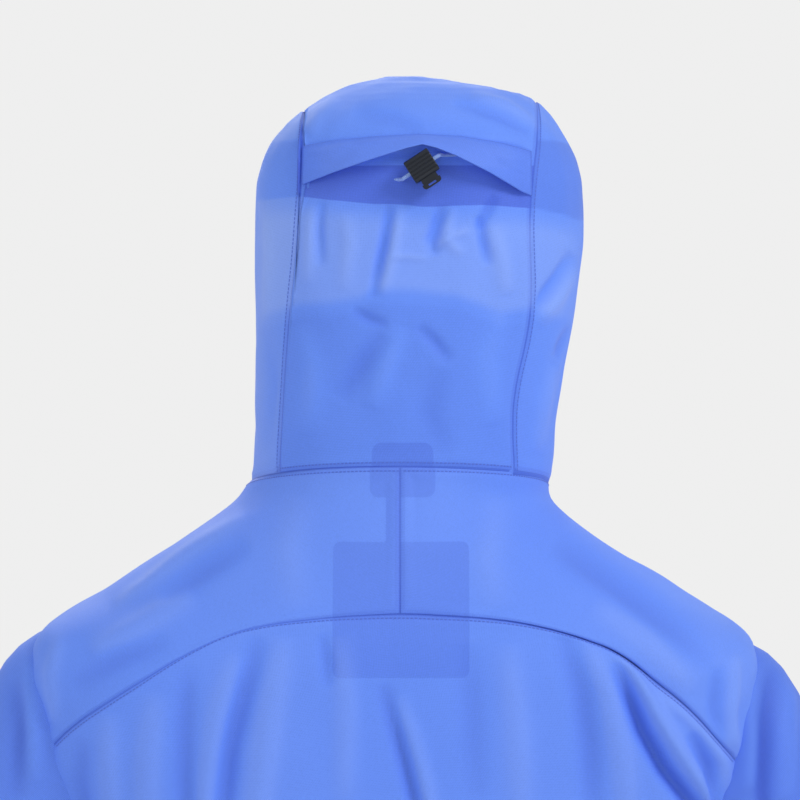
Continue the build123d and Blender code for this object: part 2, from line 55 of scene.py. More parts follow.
# ------------------------------------------------------------------ camera, lights, floor
camera = bpy.data.objects.new("camera", bpy.data.cameras.new("camera"))
bpy.context.scene.collection.objects.link(camera)
camera.data.lens = 120
camera.data.sensor_width = 36
aim = Vector((0.0, 0.090, 0.7813))
rise = math.radians(2.5)
away = 1.845
camera.location = aim + Vector((0, away * math.cos(rise), away * math.sin(rise)))
camera.rotation_mode = "QUATERNION"
camera.rotation_quaternion = (aim - camera.location).to_track_quat("-Z", "Y")
bpy.context.scene.camera = camera
bpy.context.scene.view_settings.view_transform = "Standard"

world = bpy.data.worlds.new("studio")
bpy.context.scene.world = world
world.use_nodes = True
sky = world.node_tree
backdrop = sky.nodes["Background"]
backdrop.inputs[0].default_value = (0.862, 0.862, 0.862, 1)
ambient = sky.nodes.new("ShaderNodeBackground")
ambient.inputs[0].default_value = (0.54, 0.55, 0.565, 1)
seen = sky.nodes.new("ShaderNodeLightPath")
either = sky.nodes.new("ShaderNodeMixShader")
sky.links.new(seen.outputs["Is Camera Ray"], either.inputs[0])
sky.links.new(ambient.outputs[0], either.inputs[1])
sky.links.new(backdrop.outputs[0], either.inputs[2])
sky.links.new(either.outputs[0], sky.nodes["World Output"].inputs[0])


def area(name, at, size, power, look=(0, 0, 0.7)):
    light = bpy.data.objects.new(name, bpy.data.lights.new(name, "AREA"))
    bpy.context.scene.collection.objects.link(light)
    light.data.shape = "DISK"
    light.data.size = size
    light.data.energy = power
    light.location = at
    light.rotation_mode = "QUATERNION"
    light.rotation_quaternion = (Vector(look) - Vector(at)).to_track_quat("-Z", "Y")


area("key", (-1.9, 1.7, 2.6), 1.1, 36)
area("fill", (2.2, 2.2, 1.7), 1.6, 9)
area("front", (0.6, -3.0, 2.2), 2.0, 36)


# ------------------------------------------------------------------ small helpers
def smooth(e0, e1, x):
    t = np.clip((x - e0) / (e1 - e0), 0, 1)
    return t * t * (3 - 2 * t)


def lattice(ix, iy, iz, seed):
    n = (ix * 73856093) ^ (iy * 19349663) ^ (iz * 83492791) ^ (seed * 2654435761 & 0x7FFFFFFF)
    n = (n ^ (n >> 13)) * 1274126177 & 0x7FFFFFFF
    return ((n ^ (n >> 16)) & 0xFFFF) / 32767.5 - 1.0


def noise(p, size, seed=1):
    """Smooth value noise in -1..1 at points p (n, 3), with cells of that size; size may differ by axis."""
    q = p / np.array(size, float)
    i = np.floor(q).astype(np.int64)
    f = q - i
    f = f * f * f * (f * (f * 6 - 15) + 10)
    total = 0
    for dx in (0, 1):
        for dy in (0, 1):
            for dz in (0, 1):
                w = (
                    (f[..., 0] if dx else 1 - f[..., 0])
                    * (f[..., 1] if dy else 1 - f[..., 1])
                    * (f[..., 2] if dz else 1 - f[..., 2])
                )
                total = total + w * lattice(i[..., 0] + dx, i[..., 1] + dy, i[..., 2] + dz, seed)
    return total


def metres(p):
    """Millimetres in the drawing's frame to metres in the row frame."""
    q = np.array(p, float).copy()
    q[..., 1] += SHIFT_Y
    return q / 1000.0


def grid_normals(p):
    du = np.gradient(p, axis=1)
    dv = np.gradient(p, axis=0)
    n = np.cross(du, dv)
    length = np.linalg.norm(n, axis=-1, keepdims=True)
    return n / np.maximum(length, 1e-9)


def resample(line, count):
    line = np.asarray(line, float)
    step = np.linalg.norm(np.diff(line, axis=0), axis=1)
    s = np.concatenate([[0], np.cumsum(step)])
    t = np.linspace(0, s[-1], count)
    return np.stack([np.interp(t, s, line[:, k]) for k in range(3)], axis=1)


def arc_lengths(p, axis):
    d = np.linalg.norm(np.diff(p, axis=axis), axis=-1)
    z = np.zeros_like(np.take(d, [0], axis=axis))
    return np.concatenate([z, np.cumsum(d, axis=axis)], axis=axis)


def make_mesh(name, verts, faces, material, attributes=None):
    mesh = bpy.data.meshes.new(name)
    mesh.from_pydata(metres(verts).tolist(), [], [list(map(int, f)) for f in faces])
    mesh.validate()
    mesh.polygons.foreach_set("use_smooth", [True] * len(mesh.polygons))
    rest = mesh.attributes.new("rest", "FLOAT_VECTOR", "POINT")
    rest.data.foreach_set("vector", metres(verts).astype(np.float32).ravel())
    for key, value in (attributes or {}).items():
        value = np.asarray(value, np.float32)
        kind = "FLOAT_VECTOR" if value.ndim == 2 else "FLOAT"
        a = mesh.attributes.new(key, kind, "POINT")
        a.data.foreach_set("vector" if value.ndim == 2 else "value", value.ravel())
    piece = bpy.data.objects.new(name, mesh)
    bpy.context.scene.collection.objects.link(piece)
    mesh.materials.append(material)
    return piece


def cloth(name, p, material, attributes=None, thick=0.5, keep=None, closed=False, flip=False, reach=0.0):
    """A sheet from a grid of points (rows, columns, 3), given its thickness inwards."""
    rows, cols = p.shape[:2]
    index = np.arange(rows * cols).reshape(rows, cols)
    nxt = np.roll(index, -1, axis=1) if closed else index
    last = cols if closed else cols - 1
    a = index[:-1, :last]
    if closed:
        b, c = nxt[:-1], nxt[1:]
    else:
        b, c = index[:-1, 1:], index[1:, 1:]
    d = index[1:, :last]
    quads = np.stack([a, b, c, d], axis=-1).reshape(-1, 4)
    if flip:
        quads = quads[:, ::-1]
    if keep is not None:
        ok = keep.ravel()
        quads = quads[ok[quads].any(axis=1)]
    flat = p.reshape(-1, 3)
    lengths = [arc_lengths(p, 1), arc_lengths(p, 0), np.zeros(p.shape[:2])]
    attrs = {"cloth": np.stack(lengths, -1).reshape(-1, 3)}
    for key, value in (attributes or {}).items():
        attrs[key] = np.asarray(value, float).reshape(rows * cols)
    used = np.unique(quads)
    remap = -np.ones(rows * cols, int)
    remap[used] = np.arange(len(used))
    piece = make_mesh(name, flat[used], remap[quads], material, {k: v[used] for k, v in attrs.items()})
    solid = piece.modifiers.new("thickness", "SOLIDIFY")
    solid.thickness = thick / 1000.0
    solid.offset = -1 if reach == 0 else reach
    solid.use_rim = True
    return piece


def stitches(name, lines, material, pitch=2.9, length=2.1, width=0.42, lift=0.22):
    """Rows of thread, one small flattened bead to each stitch. lines is a list of (points, normals)."""
    verts, faces = [], []
    for line, normal in lines:
        line = np.asarray(line, float)
        step = np.linalg.norm(np.diff(line, axis=0), axis=1)
        s = np.concatenate([[0], np.cumsum(step)])
        count = int(s[-1] // pitch)
        if count < 1:
            continue
        mid = (np.arange(count) + 0.5) * pitch
        at = np.stack([np.interp(mid, s, line[:, k]) for k in range(3)], 1)
        ahead = np.stack([np.interp(mid + 0.6, s, line[:, k]) for k in range(3)], 1)
        n = np.stack([np.interp(mid, s, normal[:, k]) for k in range(3)], 1)
        n /= np.maximum(np.linalg.norm(n, axis=1, keepdims=True), 1e-6)
        t = ahead - at
        t /= np.maximum(np.linalg.norm(t, axis=1, keepdims=True), 1e-6)
        w = np.cross(n, t)
        for k in range(count):
            o, tt, ww, nn = at[k], t[k], w[k], n[k]
            base = len(verts)
            for along, wide, high in ((-0.5, 0.35, 0.0), (-0.28, 1, 0.8), (0.28, 1, 0.8), (0.5, 0.35, 0.0)):
                for a, h in ((-1, -0.3), (0, 1), (1, -0.3)):
                    verts.append(
                        o + tt * along * length + ww * a * wide * width + nn * (lift * (h * (0.4 + high)))
                    )
            for r in range(3):
                for c in range(2):
                    q = base + r * 3 + c
                    faces.append([q, q + 3, q + 4, q + 1])
    return make_mesh(name, np.array(verts), faces, material)


# ------------------------------------------------------------------ materials
def srgb(*c):
    return tuple(
        (v / 255 / 12.92 if v / 255 <= 0.04045 else ((v / 255 + 0.055) / 1.055) ** 2.4) for v in c
    ) + (1,)


class Graph:
    """Builds a node material with short calls."""

    def __init__(self, name):
        self.material = bpy.data.materials.new(name)
        self.material.use_nodes = True
        self.tree = self.material.node_tree
        self.shader = self.tree.nodes["Principled BSDF"]

    def put(self, socket, value):
        if isinstance(value, bpy.types.NodeSocket):
            self.tree.links.new(value, socket)
        else:
            socket.default_value = value

    def node(self, kind, **settings):
        n = self.tree.nodes.new(kind)
        for key, value in settings.items():
            setattr(n, key, value)
        return n

    def attr(self, name, output="Fac"):
        return self.node("ShaderNodeAttribute", attribute_name=name).outputs[output]

    def math(self, op, a, b=0.0, c=0.0, clamp=False):
        n = self.node("ShaderNodeMath", operation=op, use_clamp=clamp)
        for socket, value in zip(n.inputs, (a, b, c)):
            self.put(socket, value)
        return n.outputs[0]

    def step(self, value, low, high, out=(0.0, 1.0)):
        n = self.node("ShaderNodeMapRange", interpolation_type="SMOOTHSTEP")
        for socket, v in zip(n.inputs, (value, low, high, out[0], out[1])):
            self.put(socket, v)
        return n.outputs[0]

    def mix(self, factor, a, b, blend="MIX"):
        n = self.node("ShaderNodeMix", data_type="RGBA", blend_type=blend)
        self.put(n.inputs[0], factor)
        self.put(n.inputs[6], a)
        self.put(n.inputs[7], b)
        return n.outputs[2]

    def noise(self, vector, scale, detail=3.0, rough=0.55):
        n = self.node("ShaderNodeTexNoise")
        self.put(n.inputs["Vector"], vector)
        n.inputs["Scale"].default_value = scale
        n.inputs["Detail"].default_value = detail
        n.inputs["Roughness"].default_value = rough
        return n.outputs["Fac"]

    def split(self, vector):
        n = self.node("ShaderNodeSeparateXYZ")
        self.put(n.inputs[0], vector)
        return n.outputs

    def bump(self, height, strength, distance, normal=None):
        n = self.node("ShaderNodeBump")
        n.inputs["Strength"].default_value = strength
        n.inputs["Distance"].default_value = distance
        self.put(n.inputs["Height"], height)
        if normal is not None:
            self.put(n.inputs["Normal"], normal)
        return n.outputs[0]


def cloth_material(name, light, dark, deep, rough=0.62, pitch=2.3, weave=0.09):
    """Coated ripstop. Where a second layer lies behind the cloth, its colour is deeper."""
    g = Graph(name)
    uv = g.attr("cloth", "Vector")
    rest = g.attr("rest", "Vector")
    u, v, _ = g.split(uv)
    k = 2 * math.pi / pitch
    a = g.math("SINE", g.math("MULTIPLY", g.math("ADD", u, v), k))
    b = g.math("SINE", g.math("MULTIPLY", g.math("SUBTRACT", u, v), k))
    diamond = g.math("MULTIPLY", a, b)
    thread = g.math(
        "MULTIPLY", g.math("SINE", g.math("MULTIPLY", u, 9.1)), g.math("SINE", g.math("MULTIPLY", v, 9.1))
    )
    grain = g.noise(rest, 900.0, 2.0, 0.6)
    cloud = g.noise(rest, 9.0, 4.0, 0.55)
    layer = g.math("MINIMUM", g.attr("sd_layer"), 50.0)
    in_layer = g.step(layer, -0.5, 0.5)
    in_patch = g.step(g.attr("sd_patch"), -0.45, 0.45)
    tape = g.step(g.attr("edge"), 3.1, 3.9, (1.0, 0.0))
    line = g.step(g.attr("edge"), 0.35, 1.2, (1.0, 0.0))
    colour = g.mix(in_layer, light, dark)
    colour = g.mix(g.math("MULTIPLY", in_patch, 0.42), colour, dark)
    colour = g.mix(g.math("MULTIPLY", tape, 0.30), colour, dark)
    colour = g.mix(g.math("MULTIPLY", line, 0.55), colour, deep)
    # tone_and_shading holds random tone and painted shading: above zero it deepens the colour as painted
    # shade, below zero it mixes in a pale blue as painted highlight
    tone_and_shading = g.attr("tone_and_shading")
    colour = g.mix(g.math("MULTIPLY", tone_and_shading, 1.0, clamp=True), colour, deep)
    glow = g.math("MULTIPLY", tone_and_shading, -1.0, clamp=True)
    colour = g.mix(glow, colour, srgb(158, 186, 255))
    speck = g.math(
        "ADD", g.math("MULTIPLY", diamond, weave),
        g.math("MULTIPLY", g.math("SUBTRACT", grain, 0.5), weave * 2.4)
    )
    speck = g.math("ADD", speck, g.math("MULTIPLY", g.math("SUBTRACT", cloud, 0.5), 0.10))
    bright = g.math("ADD", speck, 1.0)
    n = g.node("ShaderNodeVectorMath", operation="SCALE")
    g.put(n.inputs[0], colour)
    g.put(n.inputs["Scale"], bright)
    g.put(g.shader.inputs["Base Color"], n.outputs[0])
    g.put(g.shader.inputs["Roughness"], g.math("ADD", g.math("MULTIPLY", cloud, 0.10), rough - 0.05))
    height = g.math("ADD", g.math("MULTIPLY", diamond, 0.5), g.math("MULTIPLY", thread, 0.35))
    fine = g.bump(height, 0.35, 0.00012)
    wide = g.bump(g.noise(rest, 42.0, 3.0, 0.5), 0.25, 0.0016, fine)
    g.put(g.shader.inputs["Normal"], wide)
    g.shader.inputs["Sheen Weight"].default_value = 0.06
    g.shader.inputs["Sheen Roughness"].default_value = 0.45
    g.shader.inputs["Sheen Tint"].default_value = (0.75, 0.84, 1.0, 1)
    g.shader.inputs["Specular IOR Level"].default_value = 0.28
    return g.material


def simple_material(name, colour, dark, rough, scale, depth, metal=0.0, coat=0.0, spec=0.5, fine=0.08):
    g = Graph(name)
    place = g.node("ShaderNodeTexCoord").outputs["Object"]
    grain = g.noise(place, scale, 3.0, 0.6)
    cloud = g.noise(place, scale / 22, 3.0, 0.5)
    colour = g.mix(g.math("MULTIPLY", cloud, 0.5), colour, dark)
    g.put(g.shader.inputs["Base Color"], g.mix(g.math("MULTIPLY", grain, fine * 4), colour, dark))
    g.put(g.shader.inputs["Roughness"], g.math("ADD", g.math("MULTIPLY", grain, 0.22), rough - 0.11))
    g.put(g.shader.inputs["Normal"], g.bump(grain, 0.5, depth))
    g.shader.inputs["Metallic"].default_value = metal
    g.shader.inputs["Coat Weight"].default_value = coat
    g.shader.inputs["Specular IOR Level"].default_value = spec
    return g.material


def braid_material(name, colour, dark):
    """Round braided cord: two crossing sets of strands, drawn in object space."""
    g = Graph(name)
    place = g.node("ShaderNodeTexCoord").outputs["Object"]
    x, y, z = g.split(place)
    k = 2 * math.pi / 0.0016
    a = g.math("SINE", g.math("MULTIPLY", g.math("ADD", g.math("ADD", x, y), z), k))
    b = g.math("SINE", g.math("MULTIPLY", g.math("SUBTRACT", g.math("ADD", x, y), z), k))
    strands = g.math("MULTIPLY", a, b)
    mask = g.step(strands, -0.6, 0.6)
    g.put(g.shader.inputs["Base Color"], g.mix(mask, dark, colour))
    g.put(g.shader.inputs["Roughness"], g.math("ADD", g.math("MULTIPLY", mask, 0.12), 0.6))
    g.put(g.shader.inputs["Normal"], g.bump(strands, 0.7, 0.0002))
    g.shader.inputs["Sheen Weight"].default_value = 0.2
    return g.material


LIGHT = srgb(106, 148, 254)
DARK = srgb(82, 117, 230)
DEEP = srgb(62, 92, 205)
M_HOOD = cloth_material("hood_cloth", srgb(106, 149, 254), srgb(84, 116, 228), DEEP)
M_SHELL = cloth_material("shell_cloth", LIGHT, DARK, DEEP)
M_INNER = cloth_material("inner_cloth", srgb(78, 108, 214), srgb(66, 94, 200), srgb(50, 76, 180), rough=0.7)
M_TAPE = cloth_material("zip_tape", srgb(84, 118, 226), DARK, DEEP, rough=0.42, pitch=1.4, weave=0.03)
M_THREAD = simple_material("thread", srgb(88, 122, 228), srgb(70, 100, 205), 0.5, 2500, 0.00008)
M_LOCK = simple_material("lock_plastic", srgb(30, 37, 50), srgb(12, 15, 23), 0.36, 1400, 0.00006, spec=0.45)
M_PULL = simple_material("pull_rubber", srgb(52, 74, 150), srgb(38, 55, 118), 0.5, 1600, 0.00007)
M_METAL = simple_material("slider_enamel", srgb(52, 74, 150), srgb(30, 42, 88), 0.32, 1100, 0.00004, coat=0.3)
M_STEEL = simple_material(
    "spring_steel", srgb(190, 192, 196), srgb(120, 122, 126), 0.3, 2200, 0.00003, metal=1.0
)
M_CORD = braid_material("cord_braid", srgb(168, 200, 255), srgb(104, 140, 228))
M_TEETH = simple_material("zip_teeth", srgb(60, 88, 190), srgb(40, 60, 140), 0.35, 1800, 0.00004)

# ------------------------------------------------------------------ the garment's form, millimetres
FORM = np.array([
    # z, half width, back, front, middle x, power
    (-20, 225, 136, -100, 0, 2.0), (400, 225, 136, -100, 0, 2.0), (460, 235, 136, -100, 2, 2.3),
    (500, 247, 135.5, -100, 3, 2.9), (540, 254, 135, -100, 4, 3.2), (565, 258, 134.5, -100, 4, 3.2),
    (590, 261, 134, -100, 4, 3.1), (604.7, 259, 133, -100, 5, 2.9), (615.7, 250, 131.5, -100, 6.5, 2.75),
    (626.7, 231.5, 129.5, -100, 6.5, 2.6), (
        637.7, 211.1, 127.5, -100, 4.8, 2.45
    ), (648.6, 194.6, 125, -100, 5.9, 2.35),
    (659.6, 177, 122, -100, 6.6, 2.25), (670.6, 159.8, 119, -100, 7.7, 2.2), (
        681.6, 144.3, 116, -100, 7.8, 2.15
    ),
    (
        692.6, 129, 112.5, -100, 6.9, 2.1
    ), (703.6, 115.1, 109, -100, 5.4, 2.1), (713, 109.8, 106.5, -100, 2.5, 2.1),
    (724, 108.4, 105, -100, -1.8, 2.1), (735, 109, 104.6, -100, -3, 2.15), (
        760, 109.4, 105, -100, -4.7, 2.25
    ),
    (
        802, 112.3, 107, -100, -8.1, 2.35
    ), (846, 116.2, 109, -100, -12, 2.4), (891, 118.7, 111, -100, -14.5, 2.4),
    (
        935, 118.5, 112, -100, -14.8, 2.4
    ), (952, 113.5, 110, -100, -14.6, 2.4), (964, 107, 106.5, -97, -14.6, 2.35),
    (975.5, 98, 100, -90, -15.5, 2.3), (983, 90, 93.5, -80, -17.8, 2.25), (989.9, 81.5, 85, -68, -19.8, 2.2),
    (995, 74.5, 76, -52, -20, 2.15), (999, 67, 67, -40, -19.5, 2.1), (1003.5, 52, 54, -26, -14.5, 2.1),
    (1007.5, 30, 34, -12, -6.5, 2.0), (1010, 12, 22, -4, -3, 2.0),
])
FINE_Z = np.arange(-20, 1010.1, 0.5)
KERNEL = np.exp(-0.5 * (np.arange(-20, 21) / 7.0) ** 2)
KERNEL /= KERNEL.sum()
TABLE = []
for column in range(1, 6):
    raw = np.interp(FINE_Z, FORM[:, 0], FORM[:, column])
    soft = np.convolve(np.pad(raw, 20, mode="edge"), KERNEL, mode="valid")
    blend_in = smooth(980, 968, FINE_Z)
    TABLE.append(soft * blend_in + raw * (1 - blend_in))
TABLE = np.array(TABLE)
FACE_Y = -62.0
NECK_BACK = 735.0
NECK_SLOPE = 0.18


def shape_at(z):
    a, back, front, middle, power = (np.interp(z, FINE_Z, row) for row in TABLE)
    return a, (back - front) / 2, (back + front) / 2, middle, power


def on_form(bearing, z):
    """Points at bearings in radians (pi/2 straight back) and heights."""
    a, b, cy, cx, p = shape_at(z)
    c, s = np.cos(bearing), np.sin(bearing)
    x = cx + a * np.sign(c) * np.abs(c) ** (2 / p)
    y = cy + b * np.sign(s) * np.abs(s) ** (2 / p)
    return np.stack(np.broadcast_arrays(x, y, z), -1)


def neck_z(y):
    return NECK_BACK - NECK_SLOPE * (104.0 - y)


SEAM_LEFT = ((700, 735, 798, 847, 882, 917, 931, 1010), (86, 85.4, 81.2, 77, 72.8, 70, 68.6, 68.6))
SEAM_RIGHT = (
    (700, 724, 763, 787, 829, 854, 903, 931, 969, 1010),
    (-82, -81.2, -78.6, -80, -90, -92.0, -89.8, -91.7, -97, -98.7)
)


def seam_x(side, z):
    """The hood's two long seams: x over height, smoothed."""
    zs, xs = SEAM_LEFT if side > 0 else SEAM_RIGHT
    z = np.asarray(z, float)
    return sum(np.interp(z + d, zs, xs) for d in (-14, -7, 0, 7, 14)) / 5


# ------------------------------------------------------------------ folds of the hood
def ridge(x, z, line, width, height, sharp=1.0):
    """A soft fold along a polyline in the back view; height in mm, fading at its ends."""
    line = np.asarray(line, float)
    best = np.full(x.shape, 1e9)
    along = np.zeros(x.shape)
    steps = np.linalg.norm(np.diff(line, axis=0), axis=1)
    total = steps.sum()
    run = 0.0
    for (x0, z0), (x1, z1), length in zip(line, line[1:], steps):
        t = np.clip(((x - x0) * (x1 - x0) + (z - z0) * (z1 - z0)) / length**2, 0, 1)
        d = np.hypot(x - (x0 + t * (x1 - x0)), z - (z0 + t * (z1 - z0)))
        near = d < best
        best = np.where(near, d, best)
        along = np.where(near, (run + t * length) / total, along)
        run += length
    fade = np.sin(np.clip(along, 0, 1) * np.pi) ** 0.55
    return height * fade * np.exp(-((best / width) ** 2) * sharp)


# Folds in the back view, millimetres: a line of (x, z) points, its width and its height.
HOOD_FOLDS = [
    ([(6.3, 919.8), (11.2, 889), (19.6, 851.2)], 3.6, -2.3),
    ([(-0.7, 915.6), (4.2, 884.8), (11.9, 854)], 4.2, 1.7),
    ([(55.3, 919.8), (56, 897.4), (54.6, 873.6)], 3.2, -1.7),
    ([(61.6, 917), (62.3, 892.5), (64.4, 861)], 4.5, 1.3),
    ([(-29.4, 915.6), (-21.7, 891.8), (-25.2, 880.6)], 4.0, -2.2),
    ([(-36.4, 914.2), (-30.8, 893.2), (-43.4, 880.6)], 4.0, 1.3),
    ([(-23.8, 886.2), (-35, 894.6), (-47.6, 898.8)], 3.0, 1.4),
    ([(-54.6, 908.6), (-56.7, 892.5), (-60.9, 873.6)], 3.2, -2.0),
    ([(-67.2, 922.6), (-60.9, 912.8), (-53.2, 898.8)], 3.4, -1.7),
    ([(-64.4, 903), (-68.6, 883.4), (-74.2, 854)], 6.0, 1.5),
    ([(37.8, 912.8), (35, 889), (39.2, 856.8)], 6.0, 1.1),
    ([(10.5, 879.2), (-3.5, 880.6), (-18.9, 879.2)], 2.6, 0.8),
    ([(33.6, 844.2), (21, 837.2), (8.4, 832.3)], 3.8, -1.4),
    ([(-11.9, 833), (-23.8, 821.8), (-35, 807.8)], 4.2, -1.5),
    ([(11.2, 827.4), (26.6, 806.4), (43.4, 780.5)], 7.5, -1.5),
    ([(-1.4, 831.6), (9.8, 803.6), (19.6, 775.6)], 7.5, 1.3),
    ([(-70, 840), (-60.2, 810.6), (-64.4, 763)], 10.0, 1.3),
    ([(70, 833), (61.6, 803.6), (65.8, 756)], 9.0, 1.1),
    ([(-28, 803.6), (-21, 770), (-32.2, 740.6)], 9.0, -0.9),
    ([(-121.8, 883.4), (-109.2, 863.8), (-91, 841.4)], 4.6, -2.4),
    ([(-124.6, 872.2), (-112, 852.6), (-96.6, 833)], 5.0, 1.6),
    ([(-121.8, 830.2), (-116.2, 819), (-112, 807.8)], 4.2, -2.2),
    ([(-109.2, 803.6), (-103.6, 777), (-98, 742)], 6.0, 1.4),
    ([(93.8, 920.5), (91, 882), (93.8, 833)], 5.0, 1.2),
    ([(96.6, 833), (89.6, 791), (95.2, 742)], 6.0, -1.2),
    ([(-50.4, 994), (-75.6, 985.6), (-98.7, 970.2)], 4.5, 1.5),
    ([(-36.4, 988.4), (-65.8, 979.3), (-91, 968.1)], 4.5, -1.4),
    ([(44.8, 992.6), (57.4, 981.4), (64.4, 966)], 6.0, 1.2),
    ([(33.6, 981.4), (4.2, 975.8), (-14, 966)], 7.0, -1.1),
]


def height_on(line, x):
    """Height of a line of (x, z) points at x."""
    xs, zs = np.array(line).T
    return np.interp(x, xs, zs)


def fold_sum(p, folds, scale):
    """The summed height of a list of folds, in mm."""
    total = np.zeros(p.shape[:2])
    for line, width, height in folds:
        total = total + ridge(p[..., 0], p[..., 2], line, width, height * scale)
    return total


def fold_shading(height):
    """Painted shade in the valley of a fold and painted highlight on its crest, from the fold's height."""
    return np.clip(-0.15 * height, -0.16, 0.55)


def hood_relief(p):
    """Outward displacement of the hood's cloth, in mm."""
    x, y, z = p[..., 0], p[..., 1], p[..., 2]
    behind = smooth(10, 60, y)
    total = 0.9 * noise(p, (34, 34, 60), 3) + 0.45 * noise(p, (15, 15, 26), 5)
    total = total + fold_sum(p, HOOD_FOLDS, 1.8) * behind
    side = smooth(60, 20, y) * smooth(740, 780, z)
    total = total + side * (1.5 * noise(p, (60, 26, 90), 11) + 0.8 * noise(p, (30, 12, 40), 12))
    recess = smooth(962, 950, z) * smooth(905, 935, z) * smooth(96, 60, np.abs(x + 13)) * smooth(60, 95, y)
    return total - 4.0 * recess


BAND_LINE = (
    (-127.4, 906.5), (-109.2, 910.7), (-87.5, 914.2), (-56, 915.6), (-14, 914.9), (17.5, 917), (49, 919.8),
    (68.6, 921.9), (96.6, 920.5)
)


def band_low(x):
    """Lower edge of the double layer round the hood, over x."""
    return height_on(BAND_LINE, x)


COLLAR_LINE = (
    (-112, 833), (-87.5, 839.3), (-70, 836.5), (-54.6, 842.8), (-38.5, 848.4), (-10.5, 851.9),
    (17.5, 852.6), (28, 847), (49, 843.5), (70, 842.8), (96.6, 833)
)


def collar_edge(x):
    """Upper edge of the collar's lining seen through the lower hood."""
    return height_on(COLLAR_LINE, x)


def plain_fields(edge, tone_and_shading=0.0, layer=5.0, patch=-50.0):
    """The cloth attributes of a sheet that has one layer value, one patch value and one plain value of tone
    and painted shading.
    """
    flat = np.zeros(edge.shape)
    return {"sd_layer": flat + layer, "sd_patch": flat + patch, "edge": edge, "tone_and_shading": flat + tone_and_shading}


def rounded_box(x, z, low, high, radius):
    """Signed distance inside a rounded rectangle, positive inside."""
    cx, cz = (low[0] + high[0]) / 2, (low[1] + high[1]) / 2
    hx, hz = abs(high[0] - low[0]) / 2 - radius, abs(high[1] - low[1]) / 2 - radius
    dx, dz = np.abs(x - cx) - hx, np.abs(z - cz) - hz
    outside = np.hypot(np.maximum(dx, 0), np.maximum(dz, 0)) + np.minimum(np.maximum(dx, dz), 0)
    return radius - outside


def hood_fields(p, edge, centre_panel=False):
    x, y, z = p[..., 0], p[..., 1], p[..., 2]
    wobble = 0.7 * noise(p, (22, 22, 22), 21)
    top = 957.6 + 5 * smooth(0, 80, np.abs(x + 10)) if not centre_panel else 943.6 + 0 * x
    band = np.minimum(z - band_low(x) + wobble, top - z)
    lining = collar_edge(x) - z + wobble
    strip = rounded_box(x, z, (19.6, 672), (-23.1, 751.8), 7.0)
    tone_and_shading = 0.05 * noise(p, (70, 70, 70), 22)
    # Painted light: the single layer between the band and the collar lining is paled as if lit through from
    # behind.
    tone_and_shading = tone_and_shading - 0.34 * smooth(0, 18, band_low(x) - z) * smooth(0, 10, lining * -1) * smooth(30, 80, y)
    tone_and_shading = tone_and_shading + 0.12 * smooth(0, 8, lining) * smooth(40, 90, y) * smooth(-110, -60, x)
    # Painted highlight: the top of the crown is paled as if lit from above.
    tone_and_shading = tone_and_shading - 0.10 * smooth(960, 985, z)
    # Painted shade in the valleys of the folds and painted highlight on their crests.
    tone_and_shading = tone_and_shading + fold_shading(fold_sum(p, HOOD_FOLDS, 1.0)) * smooth(20, 60, y)
    patch = np.where(y > 40, strip, -50.0)
    if not centre_panel:
        # Side panels: deeper where the band lies behind them, and a painted highlight that pales the left
        # panel towards its outer side.
        tone_and_shading = tone_and_shading + 0.30 * smooth(-0.5, 1.5, band) - 0.32 * smooth(40, 100, x)
        band = band * 0 - 50.0
    return {"sd_layer": band, "sd_patch": patch, "edge": edge, "tone_and_shading": tone_and_shading}


# ------------------------------------------------------------------ hood panels
FINE = 1.0
HOOD_ROWS = int(250 * FINE)
HOOD_COLS = int(84 * FINE)


def hood_column(share):
    """A line up the back of the hood and over its crown to the face, at a share from left to right."""
    zs = np.concatenate([np.arange(700, 980, 2.0), np.arange(980, 1009.9, 0.25)])
    x = seam_x(1, zs) * (1 - share) + seam_x(-1, zs) * share
    a, b, cy, cx, p = shape_at(zs)
    inside = 1 - np.abs((x - cx) / a) ** p
    good = inside > 0
    last = len(zs) if good.all() else int(np.argmin(good))
    zs, x, a, b, cy, cx, p, inside = (q[:last] for q in (zs, x, a, b, cy, cx, p, inside))
    reach = b * inside ** (1 / p)
    back = np.stack([x, cy + reach, zs], -1)
    front = np.stack([x, cy - reach, zs], -1)[::-1]
    gap = back[:, 2] - neck_z(back[:, 1])
    first = int(np.argmax(gap >= 0))
    share_of = gap[first - 1] / (gap[first - 1] - gap[first])
    start = back[first - 1] + share_of * (back[first] - back[first - 1])
    back = np.concatenate([start[None], back[first:]])
    front = front[front[:, 1] >= FACE_Y]
    line = np.concatenate([back, front])
    for _ in range(6):
        line[1:-1] = (line[:-2] + 2 * line[1:-1] + line[2:]) / 4
    return resample(line, HOOD_ROWS)


centre = np.stack([hood_column(s) for s in np.linspace(0, 1, HOOD_COLS)], axis=1)


def edge_distance(p, left=True, right=True, bottom=True, top=True):
    """Distance in mm from each point of a grid to its sewn borders, along the cloth."""
    across, along = arc_lengths(p, 1), arc_lengths(p, 0)
    d = np.full(p.shape[:2], 60.0)
    if left:
        d = np.minimum(d, across)
    if right:
        d = np.minimum(d, across[:, -1:] - across)
    if bottom:
        d = np.minimum(d, along)
    if top:
        d = np.minimum(d, along[-1:] - along)
    return d


def seam_dip(edge):
    """The cloth dips a little where it is sewn, and is fuller beside the seam."""
    return -0.55 * np.exp(-((edge / 1.5) ** 2)) + 0.35 * np.exp(-(((edge - 5.5) / 3.2) ** 2))


edge_c = edge_distance(centre, top=False)
hold = smooth(0, 10, edge_c)
n_c = grid_normals(centre)
sign_c = 1.0 if n_c[10, HOOD_COLS // 2, 1] > 0 else -1.0
centre_out = centre + sign_c * n_c * (hood_relief(centre) * hold + seam_dip(edge_c))[..., None]


